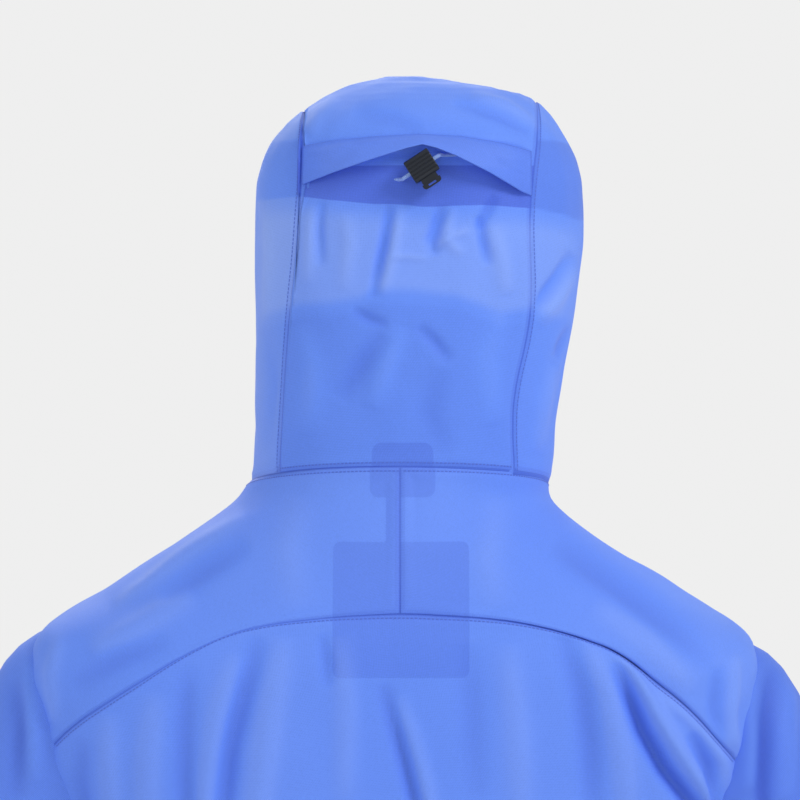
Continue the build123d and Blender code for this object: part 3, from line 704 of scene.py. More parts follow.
def hood_side(side):
    """The cloth from a long seam round to the face opening; rows go up."""
    rows, cols = int(130 * FINE), int(74 * FINE)
    tops = [
        z
        for z in np.arange(940, 1009, 0.25) if abs(seam_x(side, z) - shape_at(z)[3]) < shape_at(z)[0] * 0.998
    ]
    top = tops[-1]
    shares = 1 - (1 - np.linspace(0, 1, rows)) ** 1.25
    grid = []
    for share in shares:
        z_back, z_front = NECK_BACK - 1, 706.0
        dense = np.linspace(0, 1, 220)
        z_low = z_back + (z_front - z_back) * dense
        z = z_low + (top - z_low) * share
        a, b, cy, cx, p = shape_at(z)
        s0 = np.clip((seam_x(side, z[0]) - cx[0]) * side / a[0], 0, 0.9999)
        start = math.acos(s0 ** (p[0] / 2))
        end = -math.acos(np.clip(((seam_x(side, z[-1]) - cx[-1]) * side / a[-1]), 0, 0.9999) ** (p[-1] / 2))
        face = -math.asin(np.clip((cy[-1] - FACE_Y) / b[-1], 0, 1) ** (p[-1] / 2))
        bearing = start + (max(end, face) - start) * dense
        c, s = np.cos(bearing), np.sin(bearing)
        x = cx + side * a * np.abs(c) ** (2 / p)
        y = cy + b * np.sign(s) * np.abs(s) ** (2 / p)
        line = np.stack([x, y, z], -1)
        grid.append(resample(line, cols))
    g = np.array(grid)
    g[0, :, 2] = neck_z(g[0, :, 1])
    return g


def tuck_below(p):
    """Adds a row under the first, a little inside the garment, so that the neck seam has no gap."""
    low = p[0].copy()
    low[:, 2] -= 7.0
    centre_of = np.array([-3.0, 3.0, 0.0])
    inward = (centre_of - low) * np.array([1, 1, 0])
    low += inward / np.linalg.norm(inward, axis=1, keepdims=True) * 1.6
    return np.concatenate([low[None], p], axis=0)


def pad_low(v):
    return np.concatenate([v[:1], v], axis=0)


def side_panel(name, side):
    g = hood_side(side)
    edge = edge_distance(g, right=False)
    front_gap = edge_distance(g, left=False, bottom=False, top=False)
    n = grid_normals(g)
    n *= np.sign(n[20, 30, 0]) * side
    amount = hood_relief(g) * smooth(0, 10, edge) * smooth(0, 8, front_gap) + seam_dip(edge)
    p = g + n * amount[..., None]
    fields = hood_fields(g, edge)
    under = p[:, 0] - n[:, 0] * 1.1 + (p[:, 0] - p[:, 2]) / np.maximum(
        np.linalg.norm(p[:, 0] - p[:, 2], axis=1, keepdims=True), 1e-6
    ) * 6.0
    wide = np.concatenate([under[:, None], p], axis=1)
    wide = tuck_below(wide)
    fields = {
        k: pad_low(np.concatenate([v[:, :1] * 0 + (9.0 if k == "edge" else v[:, :1]), v], axis=1)) for k,
        v in fields.items()
    }
    piece = cloth(name, wide, M_HOOD, fields, thick=0.6, flip=side > 0)
    return piece, p, n


def hood_piece(piece, slot="hood_cloth", *nodes):
    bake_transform(piece)
    if nodes:
        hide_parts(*nodes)


def tuck_sides(p, out):
    """Adds a column beyond each long edge, a little inside, so that the long seams have no gap."""
    ahead, behind = p[:, 0] - p[:, 2], p[:, -1] - p[:, -3]
    reach = 5 * smooth(978, 945, p[:, :1, 2]) + 0.3
    ahead = ahead / np.linalg.norm(ahead, axis=1, keepdims=True) * reach - out[:, 0] * reach * 0.34
    behind = behind / np.linalg.norm(behind, axis=1, keepdims=True) * reach - out[:, -1] * reach * 0.34
    return np.concatenate([(p[:, 0] + ahead)[:, None], p, (p[:, -1] + behind)[:, None]], axis=1)


def pad_sides(v):
    return np.concatenate([v[:, :1], v, v[:, -1:]], axis=1)


centre_fields = {k: pad_low(pad_sides(v)) for k, v in hood_fields(centre, edge_c, True).items()}
centre_wide = tuck_below(tuck_sides(centre_out, sign_c * n_c))
hood_centre = cloth("hood_centre_cloth", centre_wide, M_HOOD, centre_fields, thick=0.6, flip=sign_c < 0)
hood_piece(hood_centre, "hood_cloth", "hood_centre_panel")
sides = {}
for label, side in SIDES:
    piece, grid, normal = side_panel(f"hood_{label}_side_cloth", side)
    hood_piece(piece, "hood_cloth", f"hood_side_{label}")
    sides[side] = (grid, normal)

# ------------------------------------------------------------------ rear flap over the adjuster
FLAP_LOW = (
    (-92.4, 921.9), (-84, 925.4), (-63, 937.3), (-38.5, 949.2), (-25.2, 954.45), (-15.4, 956.9),
    (-3.5, 954.1), (21, 946.4), (49, 937.3), (68.6, 930.3)
)


def flap_low(x):
    """Free lower edge of the rear flap, over x."""
    return height_on(FLAP_LOW, x)


FLAP_HIGH = ((-92.4, 953.4), (-70, 959), (-42, 963.2), (-14, 964.6), (14, 963.2), (42, 961.1), (68.6, 957.6))


def flap_high(x):
    """Sewn upper edge of the rear flap, over x."""
    return height_on(FLAP_HIGH, x)


def back_surface(x, z):
    a, b, cy, cx, p = shape_at(z)
    r = np.clip(np.abs((x - cx) / a), 0, 0.995)
    return cy + b * (1 - r**p) ** (1 / p)


def make_flap():
    cols, rows = int(120 * FINE), int(30 * FINE)
    left, right = 68.25, -91.35
    share = np.linspace(0, 1, cols)
    x_line = left + (right - left) * share
    high, low = flap_high(x_line), flap_low(x_line)
    t = np.linspace(0, 1, rows)[:, None]
    z = high + (low - high) * t
    x = x_line + 0 * z
    ends = np.minimum(share, 1 - share) * abs(left - right)
    lift = (1.2 + 5.8 * smooth(0, 1, t) + 2.6 * smooth(0, 0.25, t)) * smooth(0, 46, ends) ** 0.8 + 0.9
    lift = lift + 2.2 * np.exp(-(((x + 15) / 26) ** 2)) * t
    y = back_surface(x, z) + lift
    for line, width, height in (
        ([(64.4, 952), (49, 953.4), (33.6, 959)], 2.6, 1.3), (
            [(64.4, 943.6), (46.2, 945), (30.8, 952)], 2.8, -1.2
        ),
        (
            [(-86.8, 946.4), (-71.4, 949.2), (-60.2, 956.9)], 2.6, 1.4
        ), ([(-86.8, 936.6), (-70, 942.2), (-54.6, 953.4)], 3.0, -1.2),
        ([(28, 957.6), (0, 960.4), (-28, 959.7)], 3.2, 0.9), (
            [(-17.5, 959), (-49, 953.4), (-84, 940.8)], 4.5, 0.9
        ),
    ):
        y = y + ridge(x, z, line, width, height)
    y = y + 0.35 * noise(np.stack([x, y, z], -1), (16, 16, 9), 33)
    p = np.stack([x, y, z], -1)
    edge = edge_distance(p, top=False, bottom=False)
    # Painted shade along the fold at the flap's sewn top and at its sewn ends; slightly paler elsewhere, with
    # darker patches at random.
    tone_and_shading = -0.06 + 0.16 * smooth(0.15, 0.0, t) + 0.10 * smooth(20, 0, ends) + 0.12 * np.clip(
        noise(p, (26, 26, 12), 34), 0, 1
    )
    fields = plain_fields(edge + 2.0, tone_and_shading, layer=-50.0, patch=4.0)
    piece = cloth("hood_rear_flap_cloth", p, M_HOOD, fields, thick=0.9, flip=True)
    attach(piece, "hood")
    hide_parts("hood_rear_flap")


make_flap()

# ------------------------------------------------------------------ torso
POCKET_X, POCKET_SPAN = 135.0, (215, 385)
PIT_X, PIT_SPAN = 200.0, (205, 340)
SIDE_ZIPS = (("pocket", POCKET_X, 21.5, POCKET_SPAN), ("pit", PIT_X, 45.5, PIT_SPAN))
SLOT_HALF = 9.5
SHOULDER = np.array([200.0, 18.0, 575.0])
UPPER = np.array([math.sin(math.radians(28)), 0, -math.cos(math.radians(28))])
ELBOW = SHOULDER + 300 * UPPER
LOWER = np.array([
    math.cos(math.radians(14)) * math.sin(math.radians(14)), -math.sin(math.radians(14)),
    -math.cos(math.radians(14)) ** 2,
])
RADIUS_AT = (-80, -60, -40, -20, 0, 15, 30, 50, 80, 150, 240, 300, 345, 440, 560)
RADIUS = {
    1: (12, 22, 37, 55, 71, 79, 83, 84, 81, 74, 66.5, 63.5, 60, 54, 46.5),
    -1: (10, 16, 26, 42, 58, 68, 73, 75, 75, 72, 66, 63.5, 60, 54, 46.5),
}


def sleeve_radius(d, side):
    return np.interp(d, RADIUS_AT, RADIUS[side])


def sleeve_depth(d):
    """The sleeve's half depth from front to back, as a share of its half width."""
    return 1 - 0.17 * smooth(190, 80, d)


def inside_sleeve(p, grow=0.0):
    """How far inside the upper sleeve a point lies, in mm; positive inside."""
    q = np.stack([np.abs(p[..., 0]), p[..., 1], p[..., 2]], -1) - SHOULDER
    d = q @ UPPER
    off = q - d[..., None] * UPPER
    off[..., 1] = off[..., 1] / sleeve_depth(d)
    radial = np.linalg.norm(off, axis=-1)
    wide = np.where(p[..., 0] > 0, sleeve_radius(d, 1), sleeve_radius(d, -1))
    return np.where(d > -80, wide - radial, -999) + grow


YOKE_LINE = (
    (-280, 469), (-259, 499.8), (-241.5, 520.1), (-230.3, 532.7), (-221.2, 543.9),
    (-198.8, 569.8), (-177.1, 585.9), (-151.2, 608.3),
    (-114.1, 621.6), (-81.2, 629.3), (-51.8, 632.8),
    (0, 635.6), (44.1, 633.5), (88.2, 628.6), (118.3, 621.6), (151.2, 605.5),
    (191.8, 579.6), (228.2, 554.4), (241.5, 540.4), (266, 511), (294, 469),
)


def yoke_height(x):
    """Height of the yoke seam over x, from its line in the back view."""
    return sum(height_on(YOKE_LINE, x + d) for d in (-12, -6, 0, 6, 12)) / 5


def column(bearing, low_z, high, count):
    """A line up the form at one bearing, from low_z to where high(point) is reached."""
    z = np.arange(low_z, 742, 1.5)
    p = on_form(bearing, z)
    gap = high(p)
    over = gap <= 0
    last = max(int(np.argmax(over)), 1) if over.any() else len(z) - 1
    share = np.clip(gap[last - 1] / max(gap[last - 1] - gap[last], 1e-6), 0, 1) if over.any() else 1.0
    end = p[last - 1] + share * (p[last] - p[last - 1])
    return resample(np.concatenate([p[:last], end[None]]), count)


def above_yoke(p):
    return yoke_height(p[..., 0]) - p[..., 2]


def above_neck(p):
    return neck_z(p[..., 1]) - p[..., 2]


BODY_FOLDS = [
    ([(96.6, 620.2), (107.1, 581), (116.9, 543.9), (121.8, 504), (124.6, 448)], 7.0, -3.2),
    ([(112, 609), (124.6, 565.6), (131.6, 518), (135.8, 455)], 8.0, 2.3),
    ([(79.8, 620.2), (87.5, 574), (96.6, 511), (100.8, 448)], 9.0, 2.2),
    ([(145.6, 599.2), (148.4, 560), (149.1, 518), (147, 455)], 7.0, -2.2),
    ([(168, 581), (173.6, 539), (175, 476)], 9.0, 1.8),
    ([(53.2, 623), (50.4, 605.5), (49, 585.2)], 4.0, -1.6),
    ([(42, 621.6), (36.4, 574), (37.8, 504)], 8.0, 1.4),
    ([(12.6, 589.4), (4.2, 560), (-3.5, 534.8), (-11.2, 504), (-18.2, 448)], 5.0, -3.0),
    ([(1.4, 581), (-8.4, 549.5), (-18.2, 511), (-28, 455)], 6.5, 2.0),
    ([(-46.2, 616), (-49, 567), (-51.8, 504)], 9.0, -1.3),
    ([(-73.5, 616), (-79.8, 560), (-84, 490)], 9.0, 1.5),
    ([(-110.6, 623), (-124.6, 581), (-130.2, 542.5), (-134.4, 483)], 8.0, -2.4),
    ([(-126, 618.8), (-142.8, 581), (-152.6, 539), (-159.6, 476)], 8.0, 2.0),
    (
        [(-148.4, 602), (-155.4, 585.2), (-167.3, 555.1), (-183.4, 526.4), (-203, 501.2), (-236.6, 455)],
        5.6, -6.0
    ),
    ([(-152.6, 607.6), (-169.4, 578.2), (-184.1, 550.9), (-201.6, 523.6), (-221.2, 493.5)], 6.0, 4.6),
    ([(-176.4, 582.4), (-203, 562.8), (-223.3, 540.4), (-234.5, 504)], 5.5, 2.6),
    ([(-200.2, 551.6), (-215.6, 523.6), (-225.4, 483)], 5.0, -3.0),
    ([(221.2, 546), (224, 511), (221.2, 462)], 7.0, -1.8),
    ([(201.6, 565.6), (201.6, 518), (197.4, 462)], 8.0, 1.6),
]
YOKE_FOLDS = [
    ([(109.2, 697.2), (142.8, 676.2), (175, 653.8), (201.6, 635.6)], 5.0, 2.0),
    ([(105, 680.4), (135.8, 662.2), (168, 639.8)], 7.0, -1.8),
    ([(142.8, 646.8), (182, 624.4), (215.6, 607.6)], 8.0, 2.0),
    ([(161, 616), (196, 602), (229.6, 581)], 8.0, -1.7),
    ([(238, 616), (245, 588), (242.2, 553)], 6.0, 1.6),
    ([(-116.2, 697.2), (-155.4, 672), (-196, 644), (-236.6, 618.8)], 7.0, 2.2),
    ([(-106.4, 680.4), (-147, 652.4), (-187.6, 623), (-218.4, 596.4)], 8.0, -2.0),
    ([(-235.2, 602), (-231, 563.5), (-235.2, 511)], 5.0, 2.4),
    ([(-221.2, 596.4), (-219.8, 565.6), (-225.4, 539)], 6.0, -1.8),
    ([(-133, 639.8), (-168, 616), (-203, 581)], 8.0, 1.6),
    ([(70, 714), (77, 679), (70, 637)], 12.0, 0.9),
    ([(-70, 714), (-60.2, 672), (-64.4, 637)], 12.0, 1.0),
]


def body_relief(p, folds):
    y, z = p[..., 1], p[..., 2]
    total = 1.3 * noise(p, (70, 70, 150), 41) + 0.6 * noise(p, (26, 26, 60), 42)
    total = total + fold_sum(p, folds, 1.7) * smooth(18, 40, y)
    low = smooth(420, 200, z)
    total = total + low * (2.6 * noise(p, (52, 80, 170), 43) + 1.5 * noise(p, (90, 90, 46), 44))
    pit = np.clip(inside_sleeve(p, 46) / 46, 0, 1) ** 2
    total = total + pit * (2.4 * noise(p, (30, 30, 18), 45)) * smooth(640, 560, z)
    return total - 2.0 * np.exp(-(((z - 260) / 120) ** 2))


def body_fields(p, edge, extra=0.0, folds=()):
    x, y, z = p[..., 0], p[..., 1], p[..., 2]
    label = rounded_box(x, z, (46.2, 592.2), (-47.6, 683.9), 5.0)
    small = rounded_box(x, z, (21, 714), (-24.5, 756), 6.0)
    strap = rounded_box(x, z, (9.8, 682.5), (0, 728), 2.0)
    patch = np.maximum(np.maximum(label, small), strap)
    patch = np.where(y > 40, patch, -50.0)
    # Random tone, the given extra, and painted shade and highlight on the folds.
    tone_and_shading = 0.07 * noise(p, (90, 90, 140), 51) + extra + fold_shading(fold_sum(p, folds, 1.0)) * smooth(18, 40, y)
    return {"sd_layer": np.full(p.shape[:2], -50.0), "sd_patch": patch, "edge": edge, "tone_and_shading": tone_and_shading}


def outward(p):
    n = grid_normals(p)
    middle = np.array([0, 18.0, 0])
    away = (p - middle) * np.array([1, 1, 0])
    return n * np.sign(np.sum(n * away, axis=-1, keepdims=True))


def faces_out(p):
    """True if the grid's own face order already points outwards."""
    n = grid_normals(p)
    away = (p - np.array([0, 18.0, 0])) * np.array([1, 1, 0])
    return np.sum(n * away) > 0


def panel(
    name, p, folds, material, edge, nodes, extra=0.0, body="shell", amount=1.0,
    trim=12.0, tuck=False
):
    n = outward(p)
    shape = body_relief(p, folds) * amount * smooth(0, 12, edge) + seam_dip(edge)
    out = p + n * shape[..., None]
    keep = inside_sleeve(out) < trim
    fields = body_fields(p, edge, extra, folds)
    shown = out
    if tuck:
        ahead = out[-1] - out[-3]
        under = out[-1] + ahead / np.linalg.norm(ahead, axis=1, keepdims=True) * 7 - n[-1] * 1.9
        shown = np.concatenate([out, under[None]])
        keep = np.concatenate([keep, keep[-1:]])
        fields = {key: np.concatenate([value, value[-1:]]) for key, value in fields.items()}
    piece = cloth(name, shown, material, fields, thick=0.7, keep=keep, flip=not faces_out(p))
    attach(piece, body)
    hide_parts(*nodes)
    return out, n


def columns(bearings, low, high, rows):
    return np.stack([column(b, low(b), high, rows) for b in bearings], axis=1)


RAD = np.pi / 180


def even_bearings(low, high, count, z):
    """Bearings in radians, evenly spaced along the form's outline at height z; low and high in degrees."""
    dense = np.linspace(low, high, 4001) * RAD
    outline = on_form(dense, np.full(dense.shape, float(z)))
    s = np.concatenate([[0], np.cumsum(np.linalg.norm(np.diff(outline, axis=0), axis=1))])
    return np.interp(np.linspace(0, s[-1], count), s, dense)


back_b = even_bearings(0, 180, int(230 * FINE), 540)
back_grid = columns(back_b, lambda b: 30.0, above_yoke, int(210 * FINE))
back_edge = edge_distance(back_grid)
back_out, back_n = panel(
    "back_cloth", back_grid, BODY_FOLDS, M_SHELL, back_edge, ["back_panel"], extra=-0.03, tuck=True
)


def yoke_bottom(b):
    z = np.arange(440, 660, 0.1)
    p = on_form(b, z)
    return float(z[np.argmax(above_yoke(p) <= 0)])


yokes = {}
for label, side in SIDES:
    bearings = even_bearings(-30 if side > 0 else 210, 90, int(150 * FINE), 600)
    grid = columns(bearings, yoke_bottom, above_neck, int(70 * FINE))
    grid[..., 0] = grid[..., 0] - grid[:, -1:, 0] * smooth(0.35, 1, np.linspace(0, 1, grid.shape[1]))
    edge = edge_distance(grid)
    out, n = panel(f"yoke_{label}_cloth", grid, YOKE_FOLDS, M_SHELL, edge, [f"yoke_{label}"], extra=-0.03)
    yokes[side] = (out, n)

ZIP_B = math.degrees(math.acos(13.2 / 225))
fronts = {}
for label, side in SIDES:
    for part, (b0, b1, top) in {"chest": (-ZIP_B, -30, above_neck), "flank": (-30, 0, above_yoke)}.items():
        turned = (b0, b1) if side > 0 else (180 - b0, 180 - b1)
        bearings = even_bearings(*turned, int((96 if part == "chest" else 44) * FINE), 480)
        grid = columns(bearings, lambda b: 30.0, top, int(190 * FINE))
        if part == "chest":
            x0 = 13.6 * side
            t = smooth(1, 0, np.linspace(0, 1, grid.shape[1]) * 3.0)
            grid[..., 0] = grid[..., 0] + (x0 - grid[:, :1, 0]) * t
        x, z = grid[..., 0] * side, grid[..., 2]
        slot_x, slot_z = (POCKET_X, POCKET_SPAN) if part == "chest" else (PIT_X, PIT_SPAN)
        hole = np.maximum(np.abs(x - slot_x) - SLOT_HALF, np.maximum(slot_z[0] - 3 - z, z - slot_z[1] - 3))
        edge = np.minimum(edge_distance(grid), np.maximum(hole, 0))
        n = outward(grid)
        shape = body_relief(grid, []) * smooth(0, 14, edge) + seam_dip(edge)
        out = grid + n * shape[..., None]
        keep = (inside_sleeve(out) < 12) & (hole > 0)
        piece = cloth(
            f"{part}_{label}_cloth", out, M_SHELL, body_fields(grid, edge), thick=0.7, keep=keep,
            flip=not faces_out(grid),
        )
        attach(piece, "shell")
        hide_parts(f"front_panel_{label}")
        fronts[side, part] = (out, n)

# ------------------------------------------------------------------ collar
collars = {}
for label, side in SIDES:
    rows, cols = int(46 * FINE), int(64 * FINE)
    grid = []
    for share in np.linspace(0, 1, rows):
        dense = np.linspace(0, 1, 160)
        z_low = 698.0 + 7.0 * dense
        z_top = 790.0 - 9.8 * dense
        z = z_low + (z_top - z_low) * share
        a, b, cy, cx, p = shape_at(z)
        end = -math.asin(np.clip((cy[-1] - (FACE_Y - 0.2)) / b[-1], 0, 1) ** (p[-1] / 2))
        start = -math.acos((13.6 / a[0]) ** (p[0] / 2))
        bearing = start + (end - start) * dense
        c, s = np.cos(bearing), np.sin(bearing)
        x = cx * dense + side * a * np.abs(c) ** (2 / p)
        y = cy + b * np.sign(s) * np.abs(s) ** (2 / p)
        grid.append(resample(np.stack([x, y, z], -1), cols))
    g = np.array(grid)
    g[:, 0, 0] = 13.6 * side
    edge = edge_distance(g)
    n = outward(g)
    amount = (
        0.8 * noise(g, (30, 20, 26), 61) + 0.5 * noise(g, (12, 12, 40), 62)
    ) * smooth(0, 12, edge) + seam_dip(edge)
    out = g + n * amount[..., None]
    fields = plain_fields(edge, -0.12)
    piece = cloth(f"collar_{label}_cloth", out, M_SHELL, fields, thick=1.6, flip=not faces_out(g))
    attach(piece, "shell")
    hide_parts(f"collar_{label}")
    collars[side] = (out, n)

# ------------------------------------------------------------------ hem band, its facing, its gathers
hem_b = np.linspace(-ZIP_B, 180 + ZIP_B, int(420 * FINE)) * RAD
hem_z = np.concatenate([[0.0, 0.6], np.linspace(2.0, 29.6, int(22 * FINE))])
hem_grid = np.stack([on_form(hem_b, np.full(hem_b.shape, z)) for z in hem_z])
edge = edge_distance(hem_grid, left=False, right=False)
n = outward(hem_grid)
puff = np.sin(np.clip((hem_grid[..., 2] - 1) / 27, 0, 1) * np.pi)
gather = noise(
    np.stack([hem_b[None] * 225 + 0 * hem_grid[..., 2], 0 * hem_grid[..., 0], hem_grid[..., 2] * 0.3], -1),
    (9, 50, 60), 71
)
out = hem_grid + n * (puff * (0.5 + 0.9 * gather) + seam_dip(np.abs(hem_grid[..., 2] - 26)) * 0.6)[..., None]
fields = plain_fields(edge + 1.2, -0.05)
hem_piece = cloth("hem_band_cloth", out, M_SHELL, fields, thick=1.0, flip=not faces_out(hem_grid))
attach(hem_piece, "shell")
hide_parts("hem_band")
hem_n = n

inner = hem_grid[:-2] - n[:-2] * 6.4
edge_i = edge_distance(inner, left=False, right=False)
fields = plain_fields(edge_i + 1)
inner_piece = cloth("hem_facing_cloth", inner, M_INNER, fields, thick=0.7, flip=not faces_out(hem_grid))
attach(inner_piece, "shell")
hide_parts("hem_facing")

# ------------------------------------------------------------------ sleeves
def sleeve_line(count):
    """The sleeve's middle line: shoulder, a rounded elbow, cuff. Returns its points."""
    end = ELBOW + 252 * LOWER
    pts = [SHOULDER - 79 * UPPER]
    for d in np.arange(-76, 242, 3.0):
        pts.append(SHOULDER + d * UPPER)
    for t in np.linspace(0, 1, 26):
        a, c = SHOULDER + 242 * UPPER, ELBOW + 58 * LOWER
        pts.append((1 - t) ** 2 * a + 2 * t * (1 - t) * ELBOW + t * t * c)
    for d in np.arange(61, 252, 3.0):
        pts.append(ELBOW + d * LOWER)
    pts.append(end)
    return resample(np.array(pts), count)


SLEEVE_FOLDS = [
    (
        [(-266.7, 588), (-260.4, 553), (-256.2, 504), (-259, 448)], 5.5, -3.2
    ), ([(-250.6, 596.4), (-245, 557.2), (-246.4, 504)], 6.0, 2.0),
    (
        [(-284.2, 581), (-275.8, 542.5), (-273, 497)], 7.0, 2.2
    ), ([(266, 599.2), (259, 565.6), (256.2, 511)], 6.0, 1.8),
    ([(275.8, 581), (270.2, 546), (271.6, 497)], 6.5, -2.2),
]


def make_sleeve(label, side):
    rows, cols = int(200 * FINE), int(110 * FINE)
    line = sleeve_line(rows)
    steps = np.linalg.norm(np.diff(line, axis=0), axis=1)
    d = np.concatenate([[0], np.cumsum(steps)]) - 79
    tangent = np.gradient(line, axis=0)
    tangent /= np.linalg.norm(tangent, axis=1, keepdims=True)
    radius = sleeve_radius(d, side)
    front = np.array([0, -1.0, 0])
    e1 = front - (tangent @ front)[:, None] * tangent
    e1 /= np.linalg.norm(e1, axis=1, keepdims=True)
    e2 = np.cross(tangent, e1)
    theta = np.linspace(0, 2 * np.pi, cols, endpoint=False)
    normal = np.cos(theta)[None, :, None] * e1[:, None] + np.sin(theta)[None, :, None] * e2[:, None]
    flatter = (
        np.cos(theta)[None, :, None] * (e1 * sleeve_depth(d)[:, None])[:, None]
        + np.sin(theta)[None, :, None] * e2[:, None]
    )
    base = line[:, None] + flatter * radius[:, None, None]
    dd = d[:, None] + 0 * theta[None]
    bend = np.exp(-(((dd - 300) / 62) ** 2))
    low = smooth(420, 520, dd)
    rear = smooth(18, 50, base[..., 1])
    rings = np.sin(dd / 11.5 + 1.6 * noise(base, (60, 60, 60), 82) * 3 + np.cos(theta)[None] * 0.8)
    amount = 1.4 * noise(base, (60, 60, 90), 81) + 0.7 * noise(base, (22, 22, 40), 83)
    amount = amount + bend * (
        1.9 * rings * (0.45 + 0.55 * np.cos(theta)[None]) + 1.6 * noise(base, (40, 40, 16), 84)
    )
    amount = amount + low * (1.7 * np.sin(dd / 9.5 + 3.2 * noise(base, (50, 50, 40), 85)) * 0.8)
    amount = (
        amount + 1.5 * noise(base, (26, 26, 60), 86) * smooth(120, 30, dd) * smooth(620, 560, base[..., 2])
    )
    amount = amount - 0.64 * np.exp(-(((dd - 150) / 70) ** 2))
    amount = amount * smooth(-30, 40, dd) * smooth(555, 538, dd)
    flat = base * np.array([side, 1, 1])
    amount = amount + fold_sum(flat, SLEEVE_FOLDS, 1.6) * rear
    under = 1.2 * np.exp(-((((theta[None] - 1.5 * np.pi)) * radius[:, None] / 1.6) ** 2))
    amount = amount - under * smooth(60, 90, dd)
    p = base + normal * amount[..., None]
    p[..., 0] *= side
    seam = np.abs(theta[None] - np.pi * 1.5) * radius[:, None]
    edge = np.minimum(seam + 0 * dd, (d[-1] - dd) + 0.5)
    # Painted shade: both sleeves deepened all over, the right one more, a little less near the shoulder, plus
    # random tone and painted shading of the folds.
    tone_and_shading = 0.24 + 0.08 * noise(base, (80, 80, 120), 87) + 0 * dd
    tone_and_shading = (
        tone_and_shading + (0.20 if side < 0 else -0.02) - 0.10 * smooth(90, -20, dd)
        + fold_shading(fold_sum(flat, SLEEVE_FOLDS, 1.0)) * rear
    )
    fields = plain_fields(edge, tone_and_shading, layer=-50.0)
    core = inside_torso(p)
    piece = cloth(
        f"sleeve_{label}_cloth", p, M_SHELL, fields, thick=0.7, keep=core < 9, closed=True, flip=side < 0
    )
    start, end = ELBOW - 62 * UPPER, ELBOW + 62 * LOWER
    tuple(metres(start * np.array([side, 1, 1])))
    tuple(metres(end * np.array([side, 1, 1])))
    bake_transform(piece)
    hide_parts(f"sleeve_{label}_upper", f"sleeve_{label}_lower")
    return p, d


def inside_torso(p):
    """How far inside the torso's form a point lies, roughly in mm."""
    z = np.clip(p[..., 2], 0, 740)
    a, b, cy, cx, power = shape_at(z)
    r = np.sqrt(((p[..., 0] - cx) / a) ** 2 + ((p[..., 1] - cy) / b) ** 2)
    return (1 - r) * np.minimum(a, b) - np.where(p[..., 2] > 738, 999, 0)


for label, side in SIDES:
    make_sleeve(label, side)

# ------------------------------------------------------------------ hood edge binding, halo band, peak
def strip(name, line, normal, across, width, thick, material, body, slot, nodes=(), blended=False):
    """A flat folded strip along a line, with rounded edges and its own thickness."""
    line = np.asarray(line, float)
    across = across / np.maximum(np.linalg.norm(across, axis=1, keepdims=True), 1e-9)
    normal = normal / np.maximum(np.linalg.norm(normal, axis=1, keepdims=True), 1e-9)
    t = np.linspace(0, 2 * np.pi, 20, endpoint=False)
    u = np.sign(np.cos(t)) * np.abs(np.cos(t)) ** 0.45 * width / 2
    w = np.sign(np.sin(t)) * np.abs(np.sin(t)) ** 0.75 * thick / 2
    p = line[:, None] + u[None, :, None] * across[:, None] + w[None, :, None] * normal[:, None]
    rows, cols = p.shape[:2]
    i = np.arange(rows * cols).reshape(rows, cols)
    n = np.roll(i, -1, axis=1)
    quads = np.stack([i[:-1], n[:-1], n[1:], i[1:]], -1).reshape(-1, 4).tolist()
    quads += [list(range(cols))[::-1], list(range((rows - 1) * cols, rows * cols))]
    s = np.concatenate([[0], np.cumsum(np.linalg.norm(np.diff(line, axis=0), axis=1))])
    coords = np.stack(
        [np.tile(u, (rows, 1)), np.tile(s[:, None], (1, cols)), 0 * p[..., 0]], -1
    ).reshape(-1, 3)
    attrs = {"cloth": coords, **plain_fields(np.full(rows * cols, 9.0))}
    piece = make_mesh(name, p.reshape(-1, 3), quads, material, attrs)
    if blended:
        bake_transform(piece)
    else:
        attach(piece, body)
    if nodes:
        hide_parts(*nodes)
    return piece


left_edge = sides[1][0][:, -1]
right_edge = sides[-1][0][:, -1]
top_edge = centre_out[-1]
low_left = left_edge[left_edge[:, 2] > 776]
low_right = right_edge[right_edge[:, 2] > 776]
rim = np.concatenate([low_left[:-2], top_edge, low_right[::-1][2:]])
rim = resample(rim, int(260 * FINE))
for _ in range(4):
    rim[1:-1] = (rim[:-2] + 2 * rim[1:-1] + rim[2:]) / 4
rim[:, 1] = FACE_Y
rim_n = rim - np.array([-10, FACE_Y, 880])
rim_n[:, 1] = 0
forward = np.tile([0, -1.0, 0], (len(rim), 1))
rim_at = rim + np.array([0, -1.6, 0]) - rim_n / np.linalg.norm(rim_n, axis=1, keepdims=True) * 0.6
strip(
    "hood_face_binding_cloth", rim_at, rim_n, forward, 12.0, 2.6, M_SHELL, "hood", "facing_cloth",
    ["hood_face_binding"], blended=True
)

halo_b = np.linspace(-26, 206, int(170 * FINE)) * RAD
halo_z = np.linspace(917, 961, int(20 * FINE))
halo = np.stack([on_form(halo_b, np.full(halo_b.shape, z)) for z in halo_z])
halo_n = outward(halo)
halo = halo - halo_n * (5.9 + 0.5 * noise(halo, (20, 20, 20), 91))[..., None]
fields = plain_fields(edge_distance(halo))
halo_piece = cloth("hood_halo_cloth", halo, M_INNER, fields, thick=0.8, flip=not faces_out(halo))
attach(halo_piece, "hood")
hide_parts("hood_halo_band")


def join_peak(piece):
    """Bakes the piece's placement into its mesh."""
    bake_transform(piece)


